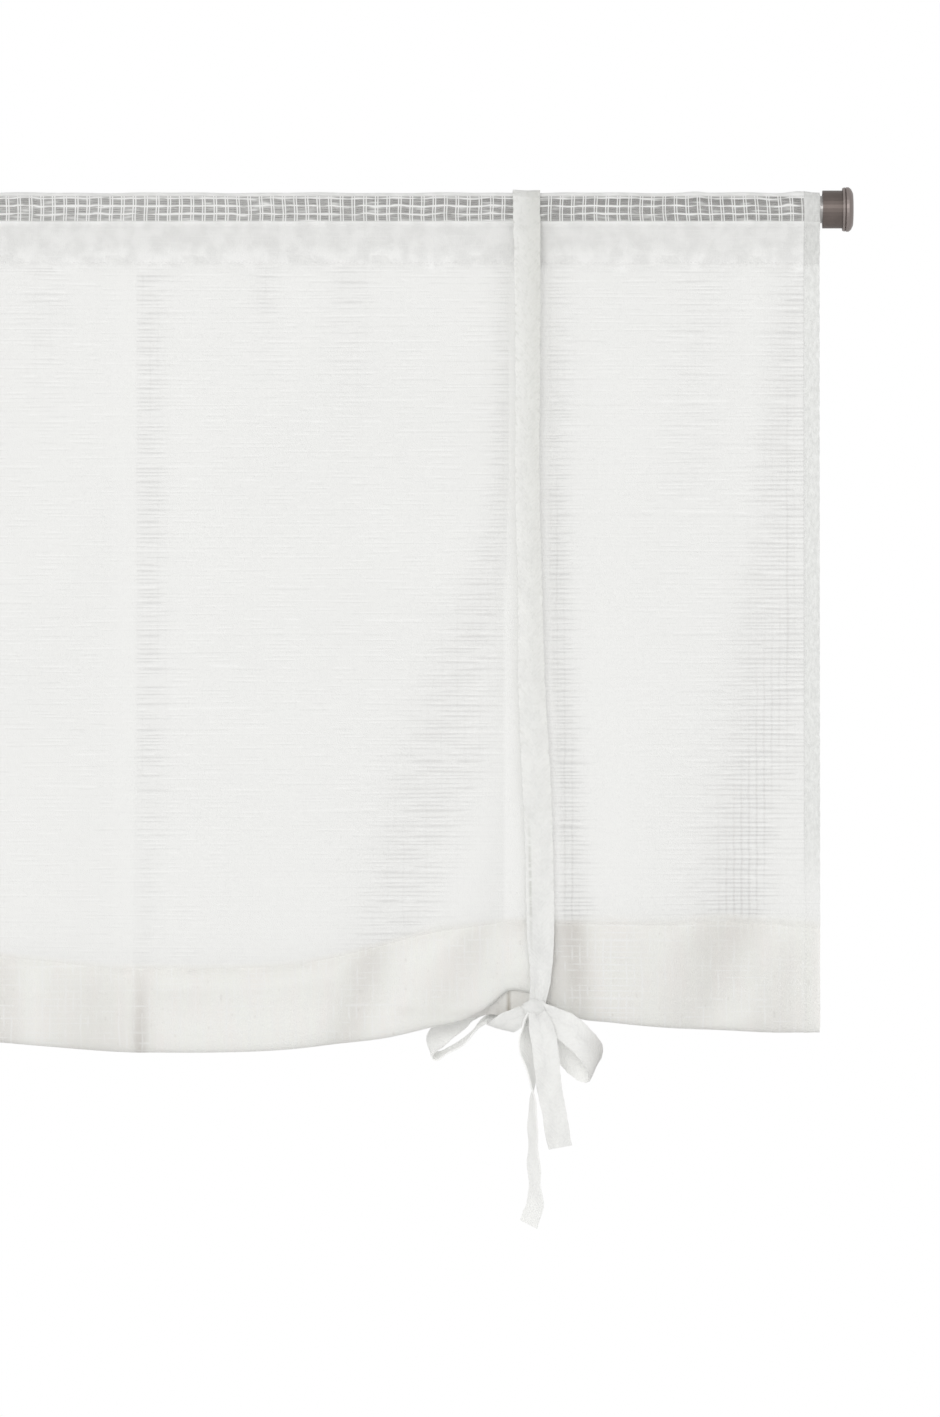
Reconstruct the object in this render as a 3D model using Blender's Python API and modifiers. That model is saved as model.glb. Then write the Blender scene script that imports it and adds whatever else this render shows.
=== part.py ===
"""Roll-up curtain on its rod, in metres.

One thin cloth hangs from a round rod in a sewn pocket and is rolled up from its lower end, towards
the back. Two flat ties lie over the rod, run down both sides of the cloth, go under the roll and end
in a bow. The rod's axis lies along X through the origin, the front faces -Y and Z points up.
"""

import math
from collections import namedtuple

import bmesh
import bpy
import numpy as np
from mathutils import Vector

OBJECT_NAME = "roll_up_curtain"

# Rod and its end caps
ROD_DIAMETER = 0.020
ROD_HALF_LENGTH = 0.515
ROD_SIDES = 32
SHARP_EDGE_DEG = 40.0
FITTING_GAP = 0.0003
CAP_INNER_X = 0.5018
CAP_SLEEVE_END_X = 0.5163
CAP_OUTER_X = 0.5240
CAP_SLEEVE_DIAMETER = 0.0277
CAP_RING_DIAMETER = 0.0325
CAP_FACE_DIAMETER = 0.0240
CAP_ROUNDING = 0.0014
CAP_SHOULDER = 0.0031
CAP_GROOVE_X = 0.5184
CAP_GROOVE_DEPTH = 0.0007
CAP_GROOVE_HALF_WIDTH = 0.0005
CAP_STEPS = 32

# Cloth, and the pocket that holds the rod
CLOTH_HALF_WIDTH = 0.500
CLOTH_THICKNESS = 0.0012
POCKET_RADIUS = 0.0114
POCKET_WRAP_DEG = 105.0
POCKET_STEPS = 10
STITCH_Z = -0.0387
STITCH_HALF_GAP = 0.0008
BACK_HEM_END_Z = -0.0412
DROP_STEPS = 13

# Roll at the lower end
ROLL_TURNS = 3
ROLL_STEPS_PER_TURN = 12
ROLL_START_DEG = -30.0
CORE_HALF_DEPTH = 0.0014
ROLL_SQUARENESS = 0.5
BACK_BEGINS_SHARE = -0.6
BACK_SPAN_SHARE = 1.5

# One cross-section of the cloth in each row: where it stands along the rod, the roll's highest and
# lowest point there, half its depth, and how much lower its back hangs than its front.
Section = namedtuple("Section", "x roll_top roll_bottom half_depth back_drop")
SECTIONS_OUTER = (
    Section(0.1825, -0.5325, -0.6055, 0.0120, 0.000),
    Section(0.2170, -0.5235, -0.5975, 0.0108, 0.000),
    Section(0.2440, -0.5195, -0.5905, 0.0096, 0.001),
    Section(0.2600, -0.5180, -0.5810, 0.0086, 0.009),
    Section(0.2710, -0.5172, -0.5715, 0.0080, 0.021),
    Section(0.2840, -0.5172, -0.5712, 0.0080, 0.023),
    Section(0.2970, -0.5172, -0.5765, 0.0080, 0.018),
    Section(0.3080, -0.5172, -0.5850, 0.0086, 0.009),
    Section(0.3220, -0.5172, -0.5909, 0.0095, 0.001),
    Section(0.3480, -0.5172, -0.5940, 0.0110, 0.000),
    Section(0.3900, -0.5172, -0.5980, 0.0120, 0.000),
    Section(0.4340, -0.5147, -0.6000, 0.0125, 0.000),
    Section(0.4680, -0.5170, -0.6015, 0.0125, 0.000),
    Section(CLOTH_HALF_WIDTH, -0.5200, -0.6010, 0.0118, 0.000),
)
SECTIONS_MIDDLE = (
    Section(-0.1420, -0.5360, -0.6060, 0.0125, 0.000),
    Section(-0.0986, -0.5417, -0.6088, 0.0130, 0.000),
    Section(-0.0600, -0.5462, -0.6120, 0.0130, 0.000),
    Section(-0.0200, -0.5506, -0.6152, 0.0130, 0.000),
    Section(0.0000, -0.5510, -0.6160, 0.0132, 0.000),
    Section(0.0200, -0.5512, -0.6161, 0.0130, 0.000),
    Section(0.0600, -0.5512, -0.6160, 0.0130, 0.000),
    Section(0.1100, -0.5490, -0.6140, 0.0130, 0.000),
    Section(0.1480, -0.5422, -0.6098, 0.0125, 0.000),
)

# One soft fold in each row, from its upper to its lower end: place, half width and depth. A positive
# depth goes back from the front. The outer folds are repeated on the other side of the middle.
Fold = namedtuple("Fold", "x_high z_high width_high depth_high x_low z_low width_low depth_low")
FOLDS_OUTER = (
    Fold(0.297, -0.070, 0.009, 0.0020, 0.319, -0.600, 0.015, 0.0075),
    Fold(0.252, -0.300, 0.022, 0.0020, 0.186, -0.540, 0.032, 0.0060),
    Fold(0.264, -0.420, 0.013, -0.0010, 0.240, -0.530, 0.015, -0.0030),
    Fold(0.372, -0.230, 0.036, -0.0010, 0.366, -0.590, 0.034, -0.0055),
    Fold(0.484, -0.090, 0.013, 0.0015, 0.436, -0.530, 0.022, 0.0055),
    Fold(0.461, -0.060, 0.010, -0.0020, 0.454, -0.240, 0.012, -0.0010),
    Fold(0.168, -0.180, 0.018, 0.0015, 0.165, -0.320, 0.022, 0.0020),
    Fold(0.205, -0.525, 0.014, 0.0020, 0.150, -0.610, 0.016, 0.0040),
    Fold(0.452, -0.530, 0.014, 0.0030, 0.404, -0.610, 0.018, 0.0040),
)
FOLDS_MIDDLE = (
    Fold(-0.020, -0.540, 0.024, 0.0015, -0.028, -0.620, 0.024, 0.0030),
    Fold(-0.098, -0.500, 0.016, 0.0010, -0.104, -0.620, 0.016, 0.0030),
)
FOLD_FADE = 0.060
CREASE_X = 0.0
CREASE_WIDTH = 0.010
CREASE_DEPTH = -0.0024
CREASE_TOP_SHARE = 0.35
CREASE_GROWS_FROM_Z = -0.20
CREASE_GROWTH_LENGTH = 0.38
FOLDS_BEGIN_Z = -0.030

# Ties, with places for the right one
TIE_THICKNESS = 0.0015
TIE_WIDTH = 0.0197
TIE_TOP_X = 0.2858
TIE_TOP_RADIUS = 0.01315
TIE_TOP_STEPS = 8
TIE_PATH_STEPS = 2
KNOT_CENTRE = (0.2920, -0.0150, -0.5825)
KNOT_RADII = (0.0100, 0.0060, 0.0068)
ROOT_CENTRE = (0.2690, 0.0150, -0.5840)
ROOT_RADII = (0.0050, 0.0050, 0.0060)

# One row for each place along a flat band: its middle, the direction across it, and its width.
Band = namedtuple("Band", "x y z across_x across_y across_z width")
TIE_FRONT_LEG = (
    Band(0.2867, -0.0127, -0.088, 1, 0, 0, 0.0182),
    Band(0.2864, -0.0118, -0.198, 1, 0, 0, 0.0175),
    Band(0.2885, -0.0112, -0.281, 1, 0, 0, 0.0177),
    Band(0.2894, -0.0108, -0.344, 1, 0, 0, 0.0193),
    Band(0.2930, -0.0104, -0.417, 1, 0, 0, 0.0205),
    Band(0.2950, -0.0102, -0.468, 1, 0, 0, 0.0201),
    Band(0.2959, -0.0102, -0.526, 1, 0, 0, 0.0198),
    Band(0.2962, -0.0108, -0.556, 1, 0, 0, 0.0160),
    Band(0.2946, -0.0138, -0.574, 1, 0, 0, 0.0125),
    Band(0.2930, -0.0168, -0.581, 1, 0, 0, 0.0105),
)
TIE_BACK_LEG = (
    Band(0.2836, 0.0132, -0.066, 1, 0, 0, 0.0197),
    Band(0.2825, 0.0128, -0.200, 1, 0, 0, 0.0197),
    Band(0.2796, 0.0124, -0.310, 1, 0, 0, 0.0197),
    Band(0.2792, 0.0120, -0.420, 1, 0, 0, 0.0197),
    Band(0.2790, 0.0118, -0.526, 1, 0, 0, 0.0197),
    Band(0.2755, 0.0118, -0.562, 1, 0, 0, 0.0200),
    Band(0.2700, 0.0116, -0.5845, 1, 0, -0.05, 0.0205),
    Band(0.2670, 0.0088, -0.5940, 1, 0, -0.10, 0.0208),
    Band(0.2662, 0.0020, -0.5975, 1, 0, -0.12, 0.0208),
    Band(0.2682, -0.0060, -0.5968, 0.99, 0, -0.18, 0.0205),
    Band(0.2730, -0.0110, -0.5925, 0.90, 0, -0.45, 0.0195),
    Band(0.2812, -0.0128, -0.5888, 0.73, 0, -0.68, 0.0165),
    Band(0.2885, -0.0130, -0.5858, 0.58, 0, -0.81, 0.0125),
)
BOW_RIGHT_LOOP = (
    Band(0.2950, -0.0160, -0.5835, -0.50, 0.00, -0.87, 0.0110),
    Band(0.3045, -0.0200, -0.5900, -0.56, 0.00, -0.83, 0.0180),
    Band(0.3140, -0.0230, -0.5980, -0.58, -0.05, -0.81, 0.0205),
    Band(0.3250, -0.0235, -0.6090, -0.60, -0.10, -0.79, 0.0205),
    Band(0.3345, -0.0195, -0.6195, -0.58, -0.15, -0.80, 0.0200),
    Band(0.3356, -0.0135, -0.6272, -0.48, -0.10, -0.87, 0.0175),
    Band(0.3300, -0.0085, -0.6285, -0.45, 0.00, -0.88, 0.0180),
    Band(0.3215, -0.0065, -0.6230, -0.50, 0.05, -0.86, 0.0185),
    Band(0.3120, -0.0075, -0.6120, -0.55, 0.05, -0.83, 0.0175),
    Band(0.3030, -0.0105, -0.5985, -0.60, 0.00, -0.80, 0.0140),
    Band(0.2945, -0.0140, -0.5860, -0.70, 0.00, -0.70, 0.0105),
)
BOW_LEFT_LOOP = (
    Band(0.2690, 0.0172, -0.5820, 0.00, 0.30, 0.94, 0.0070),
    Band(0.2590, 0.0182, -0.5810, 0.00, 0.30, 0.94, 0.0130),
    Band(0.2470, 0.0185, -0.5840, -0.10, 0.30, 0.94, 0.0170),
    Band(0.2350, 0.0190, -0.5925, -0.30, 0.35, 0.88, 0.0190),
    Band(0.2240, 0.0180, -0.6015, -0.40, 0.50, 0.75, 0.0195),
    Band(0.2165, 0.0165, -0.6090, -0.35, 0.75, 0.55, 0.0195),
    Band(0.2155, 0.0155, -0.6155, -0.15, 0.92, 0.35, 0.0195),
    Band(0.2205, 0.0150, -0.6185, 0.00, 0.97, 0.25, 0.0195),
    Band(0.2290, 0.0150, -0.6145, 0.05, 0.97, 0.22, 0.0190),
    Band(0.2370, 0.0155, -0.6100, 0.10, 0.96, 0.25, 0.0185),
    Band(0.2450, 0.0160, -0.6035, 0.15, 0.95, 0.30, 0.0170),
    Band(0.2520, 0.0165, -0.5955, 0.20, 0.90, 0.35, 0.0145),
    Band(0.2600, 0.0140, -0.5900, 0.20, 0.85, 0.40, 0.0105),
    Band(0.2690, 0.0135, -0.5875, 0.20, 0.80, 0.45, 0.0050),
)
BOW_SHORT_TAIL = (
    Band(0.2935, -0.0170, -0.5850, 1.00, 0.00, 0.00, 0.0130),
    Band(0.2958, -0.0225, -0.5930, 1.00, 0.00, 0.00, 0.0170),
    Band(0.2980, -0.0262, -0.6030, 1.00, 0.05, 0.00, 0.0192),
    Band(0.2995, -0.0275, -0.6140, 1.00, 0.05, 0.00, 0.0190),
    Band(0.3008, -0.0265, -0.6270, 1.00, 0.08, 0.00, 0.0187),
    Band(0.3022, -0.0245, -0.6400, 1.00, 0.10, 0.00, 0.0186),
    Band(0.3062, -0.0225, -0.6605, 0.98, 0.15, 0.00, 0.0180),
    Band(0.3078, -0.0220, -0.6720, 0.96, 0.25, 0.00, 0.0185),
    Band(0.3102, -0.0225, -0.6835, 0.94, 0.30, 0.15, 0.0180),
)
BOW_LONG_TAIL = (
    Band(0.2885, -0.0150, -0.5850, 0.50, 0.85, 0.00, 0.0090),
    Band(0.2850, -0.0145, -0.5940, 0.42, 0.91, 0.00, 0.0130),
    Band(0.2845, -0.0150, -0.6020, 0.48, 0.88, 0.00, 0.0170),
    Band(0.2862, -0.0155, -0.6120, 0.55, 0.83, 0.00, 0.0195),
    Band(0.2890, -0.0155, -0.6260, 0.40, 0.92, 0.00, 0.0197),
    Band(0.2904, -0.0155, -0.6390, 0.12, 0.99, 0.00, 0.0197),
    Band(0.2902, -0.0150, -0.6505, -0.20, 0.98, 0.00, 0.0197),
    Band(0.2904, -0.0145, -0.6780, -0.33, 0.94, 0.00, 0.0197),
    Band(0.2914, -0.0140, -0.7060, -0.42, 0.90, 0.00, 0.0197),
    Band(0.2922, -0.0140, -0.7235, -0.52, 0.85, 0.00, 0.0197),
    Band(0.2895, -0.0145, -0.7325, -0.62, 0.76, 0.12, 0.0197),
    Band(0.2873, -0.0150, -0.7400, -0.62, 0.72, 0.26, 0.0197),
)

# Colours, roughness and metallic value of each finish
Finish = namedtuple("Finish", "colour roughness metallic")
CLOTH_FINISH = Finish((0.86, 0.86, 0.84), 0.90, 0.0)
TIE_FINISH = Finish((0.88, 0.88, 0.86), 0.88, 0.0)
ROD_FINISH = Finish((0.42, 0.41, 0.40), 0.35, 1.0)
CAP_FINISH = Finish((0.17, 0.14, 0.13), 0.34, 1.0)


def clear_scene():
    for old in list(bpy.data.objects):
        bpy.data.objects.remove(old, do_unlink=True)


def new_collection(name, hidden=False):
    collection = bpy.data.collections.new(name)
    bpy.context.scene.collection.children.link(collection)
    collection.hide_render = hidden
    return collection


def finish_material(name, finish):
    material = bpy.data.materials.new(name)
    material.use_nodes = True
    shader = material.node_tree.nodes["Principled BSDF"]
    shader.inputs["Base Color"].default_value = (*finish.colour, 1.0)
    shader.inputs["Roughness"].default_value = finish.roughness
    shader.inputs["Metallic"].default_value = finish.metallic
    return material


def add_object(name, mesh, collection, material):
    obj = bpy.data.objects.new(name, mesh)
    collection.objects.link(obj)
    mesh.materials.append(material)
    return obj


def surface_mesh(name, rows):
    """An open surface whose grid points are the points of the rows, all of one length."""
    across, along = len(rows[0]), len(rows)
    bm = bmesh.new()
    bmesh.ops.create_grid(bm, x_segments=across - 1, y_segments=along - 1, size=1.0)
    bm.verts.ensure_lookup_table()
    order = sorted(bm.verts, key=lambda vert: (round(vert.co.y, 5), round(vert.co.x, 5)))
    for vert, point in zip(order, (point for row in rows for point in row)):
        vert.co = point
    mesh = bpy.data.meshes.new(name)
    bm.to_mesh(mesh)
    bm.free()
    mesh.shade_smooth()
    return mesh


def thicken(obj, thickness):
    modifier = obj.modifiers.new("thickness", "SOLIDIFY")
    modifier.thickness = thickness
    modifier.offset = 0.0
    modifier.use_even_offset = True
    return modifier


def mirrored(section):
    return section._replace(x=-section.x)


def mirrored_fold(fold):
    return fold._replace(x_high=-fold.x_high, x_low=-fold.x_low)


def all_sections():
    left = tuple(mirrored(section) for section in reversed(SECTIONS_OUTER))
    return left + SECTIONS_MIDDLE + SECTIONS_OUTER


def all_folds():
    return FOLDS_OUTER + tuple(mirrored_fold(fold) for fold in FOLDS_OUTER) + FOLDS_MIDDLE


def ease(value):
    value = min(max(value, 0.0), 1.0)
    return value * value * (3.0 - 2.0 * value)


def fold_offset(x, z):
    """How far the folds move the cloth back from its plain hanging form at this place."""
    grown = ease((CREASE_GROWS_FROM_Z - z) / CREASE_GROWTH_LENGTH)
    crease_share = CREASE_TOP_SHARE + (1.0 - CREASE_TOP_SHARE) * grown
    total = CREASE_DEPTH * crease_share * math.exp(-abs(x - CREASE_X) / CREASE_WIDTH)
    for fold in all_folds():
        share = (fold.z_high - z) / (fold.z_high - fold.z_low)
        inside = min(max(share, 0.0), 1.0)
        middle = fold.x_high + (fold.x_low - fold.x_high) * share
        width = fold.width_high + (fold.width_low - fold.width_high) * inside
        depth = fold.depth_high + (fold.depth_low - fold.depth_high) * inside
        beyond = max(z - fold.z_high, fold.z_low - z, 0.0)
        depth *= 1.0 - ease(beyond / FOLD_FADE)
        total += depth * math.exp(-(((x - middle) / width) ** 2))
    return total * ease((FOLDS_BEGIN_Z - z) / FOLD_FADE)


def pocket_points():
    """The cloth's middle surface from its back hem, up behind the rod, over it and down to the stitches."""
    points = [(STITCH_HALF_GAP, BACK_HEM_END_Z), (STITCH_HALF_GAP, STITCH_Z)]
    wrap = math.radians(POCKET_WRAP_DEG)
    for step in range(POCKET_STEPS + 1):
        angle = -wrap + 2.0 * wrap * step / POCKET_STEPS
        points.append((-POCKET_RADIUS * math.sin(angle), POCKET_RADIUS * math.cos(angle)))
    points.append((-STITCH_HALF_GAP, STITCH_Z))
    return points


def roll_points(section):
    """The flattened spiral from the front, down, round the back and inwards, its turns evenly apart."""
    pitch = (section.half_depth - CORE_HALF_DEPTH) / ROLL_TURNS
    half_height = (section.roll_top - section.roll_bottom - CLOTH_THICKNESS + pitch) / 2.0
    middle = (section.roll_top + section.roll_bottom) / 2.0 + pitch / 4.0
    points = []
    for step in range(ROLL_TURNS * ROLL_STEPS_PER_TURN + 1):
        turns = step / ROLL_STEPS_PER_TURN
        angle = math.radians(ROLL_START_DEG) + 2.0 * math.pi * turns
        depth = section.half_depth - pitch * turns
        height = half_height - pitch * turns
        forward = math.copysign(abs(math.cos(angle)) ** ROLL_SQUARENESS, math.cos(angle))
        down = math.copysign(abs(math.sin(angle)) ** ROLL_SQUARENESS, math.sin(angle))
        y, z = -depth * forward, middle - height * down
        back_share = ease((y / section.half_depth - BACK_BEGINS_SHARE) / BACK_SPAN_SHARE)
        low_share = ease((middle - z) / half_height)
        points.append((y, z - section.back_drop * back_share * low_share))
    return points


def drop_points(start, end):
    """The plain stretch between the stitches and the roll."""
    shares = [step / DROP_STEPS for step in range(1, DROP_STEPS)]
    return [(start[0] + (end[0] - start[0]) * s, start[1] + (end[1] - start[1]) * s) for s in shares]


def panel_column(section):
    pocket = pocket_points()
    roll = roll_points(section)
    line = pocket + drop_points(pocket[-1], roll[0]) + roll
    return [Vector((section.x, y + fold_offset(section.x, z), z)) for y, z in line]


def make_panel(collection, material):
    columns = [panel_column(section) for section in all_sections()]
    rows = list(zip(*columns))
    panel = add_object("panel", surface_mesh("panel", rows), collection, material)
    thicken(panel, CLOTH_THICKNESS)
    return panel


def make_rod(collection, material):
    bm = bmesh.new()
    bmesh.ops.create_cone(
        bm, cap_ends=True, segments=ROD_SIDES, radius1=ROD_DIAMETER / 2.0,
        radius2=ROD_DIAMETER / 2.0, depth=2.0 * ROD_HALF_LENGTH,
    )
    mesh = bpy.data.meshes.new("rod")
    bm.to_mesh(mesh)
    bm.free()
    rod = add_object("rod", mesh, collection, material)
    rod.rotation_euler = (0.0, math.radians(90.0), 0.0)
    mesh.shade_smooth()
    mesh.set_sharp_from_angle(angle=math.radians(SHARP_EDGE_DEG))
    return rod


def cap_profile():
    """Radius and height of the cap's outline, from the outer face down to the blind bore."""
    face, ring = CAP_FACE_DIAMETER / 2.0, CAP_RING_DIAMETER / 2.0
    sleeve, bore = CAP_SLEEVE_DIAMETER / 2.0, ROD_DIAMETER / 2.0 + FITTING_GAP
    top, step = CAP_OUTER_X, CAP_SLEEVE_END_X
    return [
        (0.0, top),
        (face, top),
        (ring - CAP_ROUNDING, top - CAP_ROUNDING),
        (ring, top - CAP_SHOULDER),
        (ring, CAP_GROOVE_X + CAP_GROOVE_HALF_WIDTH),
        (ring - CAP_GROOVE_DEPTH, CAP_GROOVE_X),
        (ring, CAP_GROOVE_X - CAP_GROOVE_HALF_WIDTH),
        (ring - CAP_ROUNDING / 2.0, step),
        (sleeve, step),
        (sleeve, CAP_INNER_X),
        (bore, CAP_INNER_X),
        (bore, ROD_HALF_LENGTH + FITTING_GAP),
        (0.0, ROD_HALF_LENGTH + FITTING_GAP),
    ]


def make_cap(name, side, collection, material):
    mesh = bpy.data.meshes.new(name)
    profile = [(radius, 0.0, height) for radius, height in cap_profile()]
    mesh.from_pydata(profile, [(i, i + 1) for i in range(len(profile) - 1)], [])
    cap = add_object(name, mesh, collection, material)
    screw = cap.modifiers.new("turned", "SCREW")
    screw.axis = "Z"
    screw.steps = screw.render_steps = CAP_STEPS
    screw.use_merge_vertices = True
    screw.merge_threshold = 0.0001
    screw.use_smooth_shade = True
    cap.rotation_euler = (0.0, math.radians(90.0 * side), 0.0)
    return cap


def smooth_band(rows, steps):
    """The rows of a band with points added between them on a smooth curve."""
    table = np.array(rows, dtype=float)
    slopes = np.gradient(table, axis=0)
    result = [table[0]]
    for start, end, slope_start, slope_end in zip(table, table[1:], slopes, slopes[1:]):
        for step in range(1, steps + 1):
            t = step / steps
            result.append(
                start * (2 * t**3 - 3 * t**2 + 1) + slope_start * (t**3 - 2 * t**2 + t)
                + end * (3 * t**2 - 2 * t**3) + slope_end * (t**3 - t**2)
            )
    return [Band(*row) for row in result]


def tie_top():
    """The band where it lies over the pocket, from the back to the front."""
    rows = []
    for step in range(TIE_TOP_STEPS + 1):
        angle = math.radians(-90.0 + 180.0 * step / TIE_TOP_STEPS)
        y, z = -TIE_TOP_RADIUS * math.sin(angle), TIE_TOP_RADIUS * math.cos(angle)
        rows.append(Band(TIE_TOP_X, y, z, 1, 0, 0, TIE_WIDTH))
    return rows


def band_mesh(name, rows, side):
    points = []
    for row in rows:
        middle = Vector((side * row.x, row.y, row.z))
        across = Vector((side * row.across_x, row.across_y, row.across_z)).normalized()
        points.append([middle - across * row.width / 2.0, middle, middle + across * row.width / 2.0])
    return surface_mesh(name, points)


def make_band(name, rows, side, collection, material):
    band = add_object(name, band_mesh(name, rows, side), collection, material)
    thicken(band, TIE_THICKNESS)
    return band


def make_lump(name, centre, radii, side, collection, material):
    bm = bmesh.new()
    bmesh.ops.create_icosphere(bm, subdivisions=2, radius=1.0)
    bmesh.ops.scale(bm, vec=radii, verts=bm.verts)
    mesh = bpy.data.meshes.new(name)
    bm.to_mesh(mesh)
    bm.free()
    mesh.shade_smooth()
    lump = add_object(name, mesh, collection, material)
    lump.location = (side * centre[0], centre[1], centre[2])
    return lump


def make_tie(name, side, collection, helpers, material):
    """One long band over the rod and round the roll, joined to its knot, two loops and two tails."""
    back_leg = smooth_band([tie_top()[0]] + list(TIE_BACK_LEG), TIE_PATH_STEPS)
    front_leg = smooth_band([tie_top()[-1]] + list(TIE_FRONT_LEG), TIE_PATH_STEPS)
    sling = back_leg[:0:-1] + tie_top() + front_leg[1:]
    tie = make_band(name, sling, side, collection, material)
    joined = [
        make_lump(name + "_knot", KNOT_CENTRE, KNOT_RADII, side, helpers, material),
        make_lump(name + "_root", ROOT_CENTRE, ROOT_RADII, side, helpers, material),
    ]
    for label, rows in (
        ("_right_loop", BOW_RIGHT_LOOP),
        ("_left_loop", BOW_LEFT_LOOP),
        ("_short_tail", BOW_SHORT_TAIL),
        ("_long_tail", BOW_LONG_TAIL),
    ):
        joined.append(
            make_band(name + label, smooth_band(rows, TIE_PATH_STEPS), side, helpers, material)
        )
    for helper in joined:
        helper.hide_render = True
        helper.display_type = "WIRE"
        union = tie.modifiers.new("join " + helper.name, "BOOLEAN")
        union.operation = "UNION"
        union.object = helper
    return tie


def main():
    clear_scene()
    parts = new_collection(OBJECT_NAME)
    helpers = new_collection("joined_shapes", hidden=True)
    cloth = finish_material("cloth", CLOTH_FINISH)
    band = finish_material("tie_band", TIE_FINISH)
    steel = finish_material("rod_metal", ROD_FINISH)
    pewter = finish_material("cap_metal", CAP_FINISH)
    make_rod(parts, steel)
    make_panel(parts, cloth)
    for side, label in ((1, "right"), (-1, "left")):
        make_cap("rod_cap_" + label, side, parts, pewter)
        make_tie("tie_" + label, side, parts, helpers, band)


main()
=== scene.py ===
# %% [markdown]
# # A sheer roll-up curtain, dressed in Blender
# One thin, openly woven cloth hangs from a round rod and is rolled up from its lower end. Two long
# flat ties lie over the rod, pass under the roll and end in a bow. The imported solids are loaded
# first and stay where they are. Each soft piece is then made again, finer, in the same place.

# %% The fixed frame
import math
from collections import namedtuple
import bpy
import numpy as np
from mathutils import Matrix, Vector


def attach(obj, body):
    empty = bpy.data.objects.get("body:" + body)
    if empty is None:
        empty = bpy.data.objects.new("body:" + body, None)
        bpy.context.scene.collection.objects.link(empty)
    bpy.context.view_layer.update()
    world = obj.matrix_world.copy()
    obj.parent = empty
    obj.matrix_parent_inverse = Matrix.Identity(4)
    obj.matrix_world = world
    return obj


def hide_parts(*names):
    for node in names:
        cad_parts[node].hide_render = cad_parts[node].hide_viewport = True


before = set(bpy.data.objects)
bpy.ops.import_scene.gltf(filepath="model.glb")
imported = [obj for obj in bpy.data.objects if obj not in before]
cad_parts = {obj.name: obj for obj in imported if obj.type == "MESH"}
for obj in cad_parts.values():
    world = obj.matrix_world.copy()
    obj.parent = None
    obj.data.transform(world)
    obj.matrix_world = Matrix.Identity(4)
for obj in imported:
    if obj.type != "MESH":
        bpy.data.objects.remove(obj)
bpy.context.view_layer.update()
print("nodes in the frame:", ", ".join(sorted(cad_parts)))

# %% [markdown]
# The photograph was taken from far away and straight on, so verticals stay vertical and the rod's
# cap shows no side of its own. A long lens a good distance off gives that. A near camera with a
# short lens would bend the edges, and an orthographic one can't be moved to the other views.

# %% Camera
PHOTO_WIDTH, PHOTO_HEIGHT = 940, 1417
METRES_PER_PIXEL = 0.00073
CREASE_PIXEL_X, ROD_PIXEL_Y = 135.0, 209.5
LENS, SENSOR = 200.0, 36.0


def photo_place(pixel_x, pixel_y):
    """Where a pixel of the photograph lies in the curtain's plane."""
    return ((pixel_x - CREASE_PIXEL_X) * METRES_PER_PIXEL, (ROD_PIXEL_Y - pixel_y) * METRES_PER_PIXEL)


centre_x, centre_z = photo_place(PHOTO_WIDTH / 2.0, PHOTO_HEIGHT / 2.0)
distance = PHOTO_HEIGHT * METRES_PER_PIXEL * LENS / SENSOR
camera_data = bpy.data.cameras.new("camera")
camera_data.lens = LENS
camera_data.sensor_width = SENSOR
camera = bpy.data.objects.new("camera", camera_data)
camera.location = (centre_x, -distance, centre_z)
camera.rotation_euler = (math.radians(90.0), 0.0, 0.0)
bpy.context.scene.collection.objects.link(camera)
bpy.context.scene.camera = camera
print("camera", round(distance, 2), "m in front of the cloth")

# %% [markdown]
# White cloth on a white ground only reads by its soft shadows. So one large lamp stands in front, a
# little to the left, and the surroundings fill in. The ground is pure white where it is seen past the
# cloth, and a light grey where it is seen through it, as a wall behind it would be. The light and the
# finishes are node trees. Their formulas could be wired node by node, but a small class that adds a
# node for each plus, minus or times sign keeps them as short as on paper.

# %% Studio
FLOOR_Z, FLOOR_SIZE, FLOOR_COLOUR, FLOOR_ROUGHNESS = -1.45, 8.0, (0.9, 0.9, 0.9), 0.9
KEY_PLACE, KEY_AIM, KEY_SIZE, KEY_POWER = (-1.4, -6.4, 1.6), (0.25, 0.0, -0.35), 4.8, 168.0
SURROUND_STRENGTH, GROUND_STRENGTH, THROUGH_STRENGTH = 0.80, 1.0, 0.80
WHITE, HALF = (1.0, 1.0, 1.0), 0.5


class Output:
    """What a node gives out. Each sign +, - or * between outputs and numbers adds a Math node."""

    def __init__(self, socket):
        self.socket = socket

    def __add__(self, other):
        return math_node("ADD", self, other)

    def __sub__(self, other):
        return math_node("SUBTRACT", self, other)

    def __rsub__(self, other):
        return math_node("SUBTRACT", other, self)

    def __mul__(self, other):
        return math_node("MULTIPLY", self, other)


def put(value, socket):
    """Links an output to a socket, or sets the socket to a number, a size or a colour."""
    if isinstance(value, Output):
        socket.id_data.links.new(value.socket, socket)
    elif socket.type == "RGBA":
        socket.default_value = (*value, 1.0)
    else:
        socket.default_value = value


def from_node(tree, kind, inputs=None, output=0, **settings):
    """Adds a node with its settings and inputs, and gives one of its outputs."""
    node = tree.nodes.new(kind)
    for name, value in settings.items():
        setattr(node, name, value)
    for key, value in (inputs or {}).items():
        put(value, node.inputs[key])
    return Output(node.outputs[output])


def math_node(operation, first, second=0.0):
    tree = (first if isinstance(first, Output) else second).socket.id_data
    return from_node(tree, "ShaderNodeMath", {0: first, 1: second}, operation=operation)


def new_material(name, roughness, metallic=0.0, sheen=0.0):
    material = bpy.data.materials.new(name)
    material.use_nodes = True
    shader = material.node_tree.nodes["Principled BSDF"]
    for key, value in (("Roughness", roughness), ("Metallic", metallic), ("Sheen Weight", sheen)):
        put(value, shader.inputs[key])
    return material, material.node_tree, shader


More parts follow.
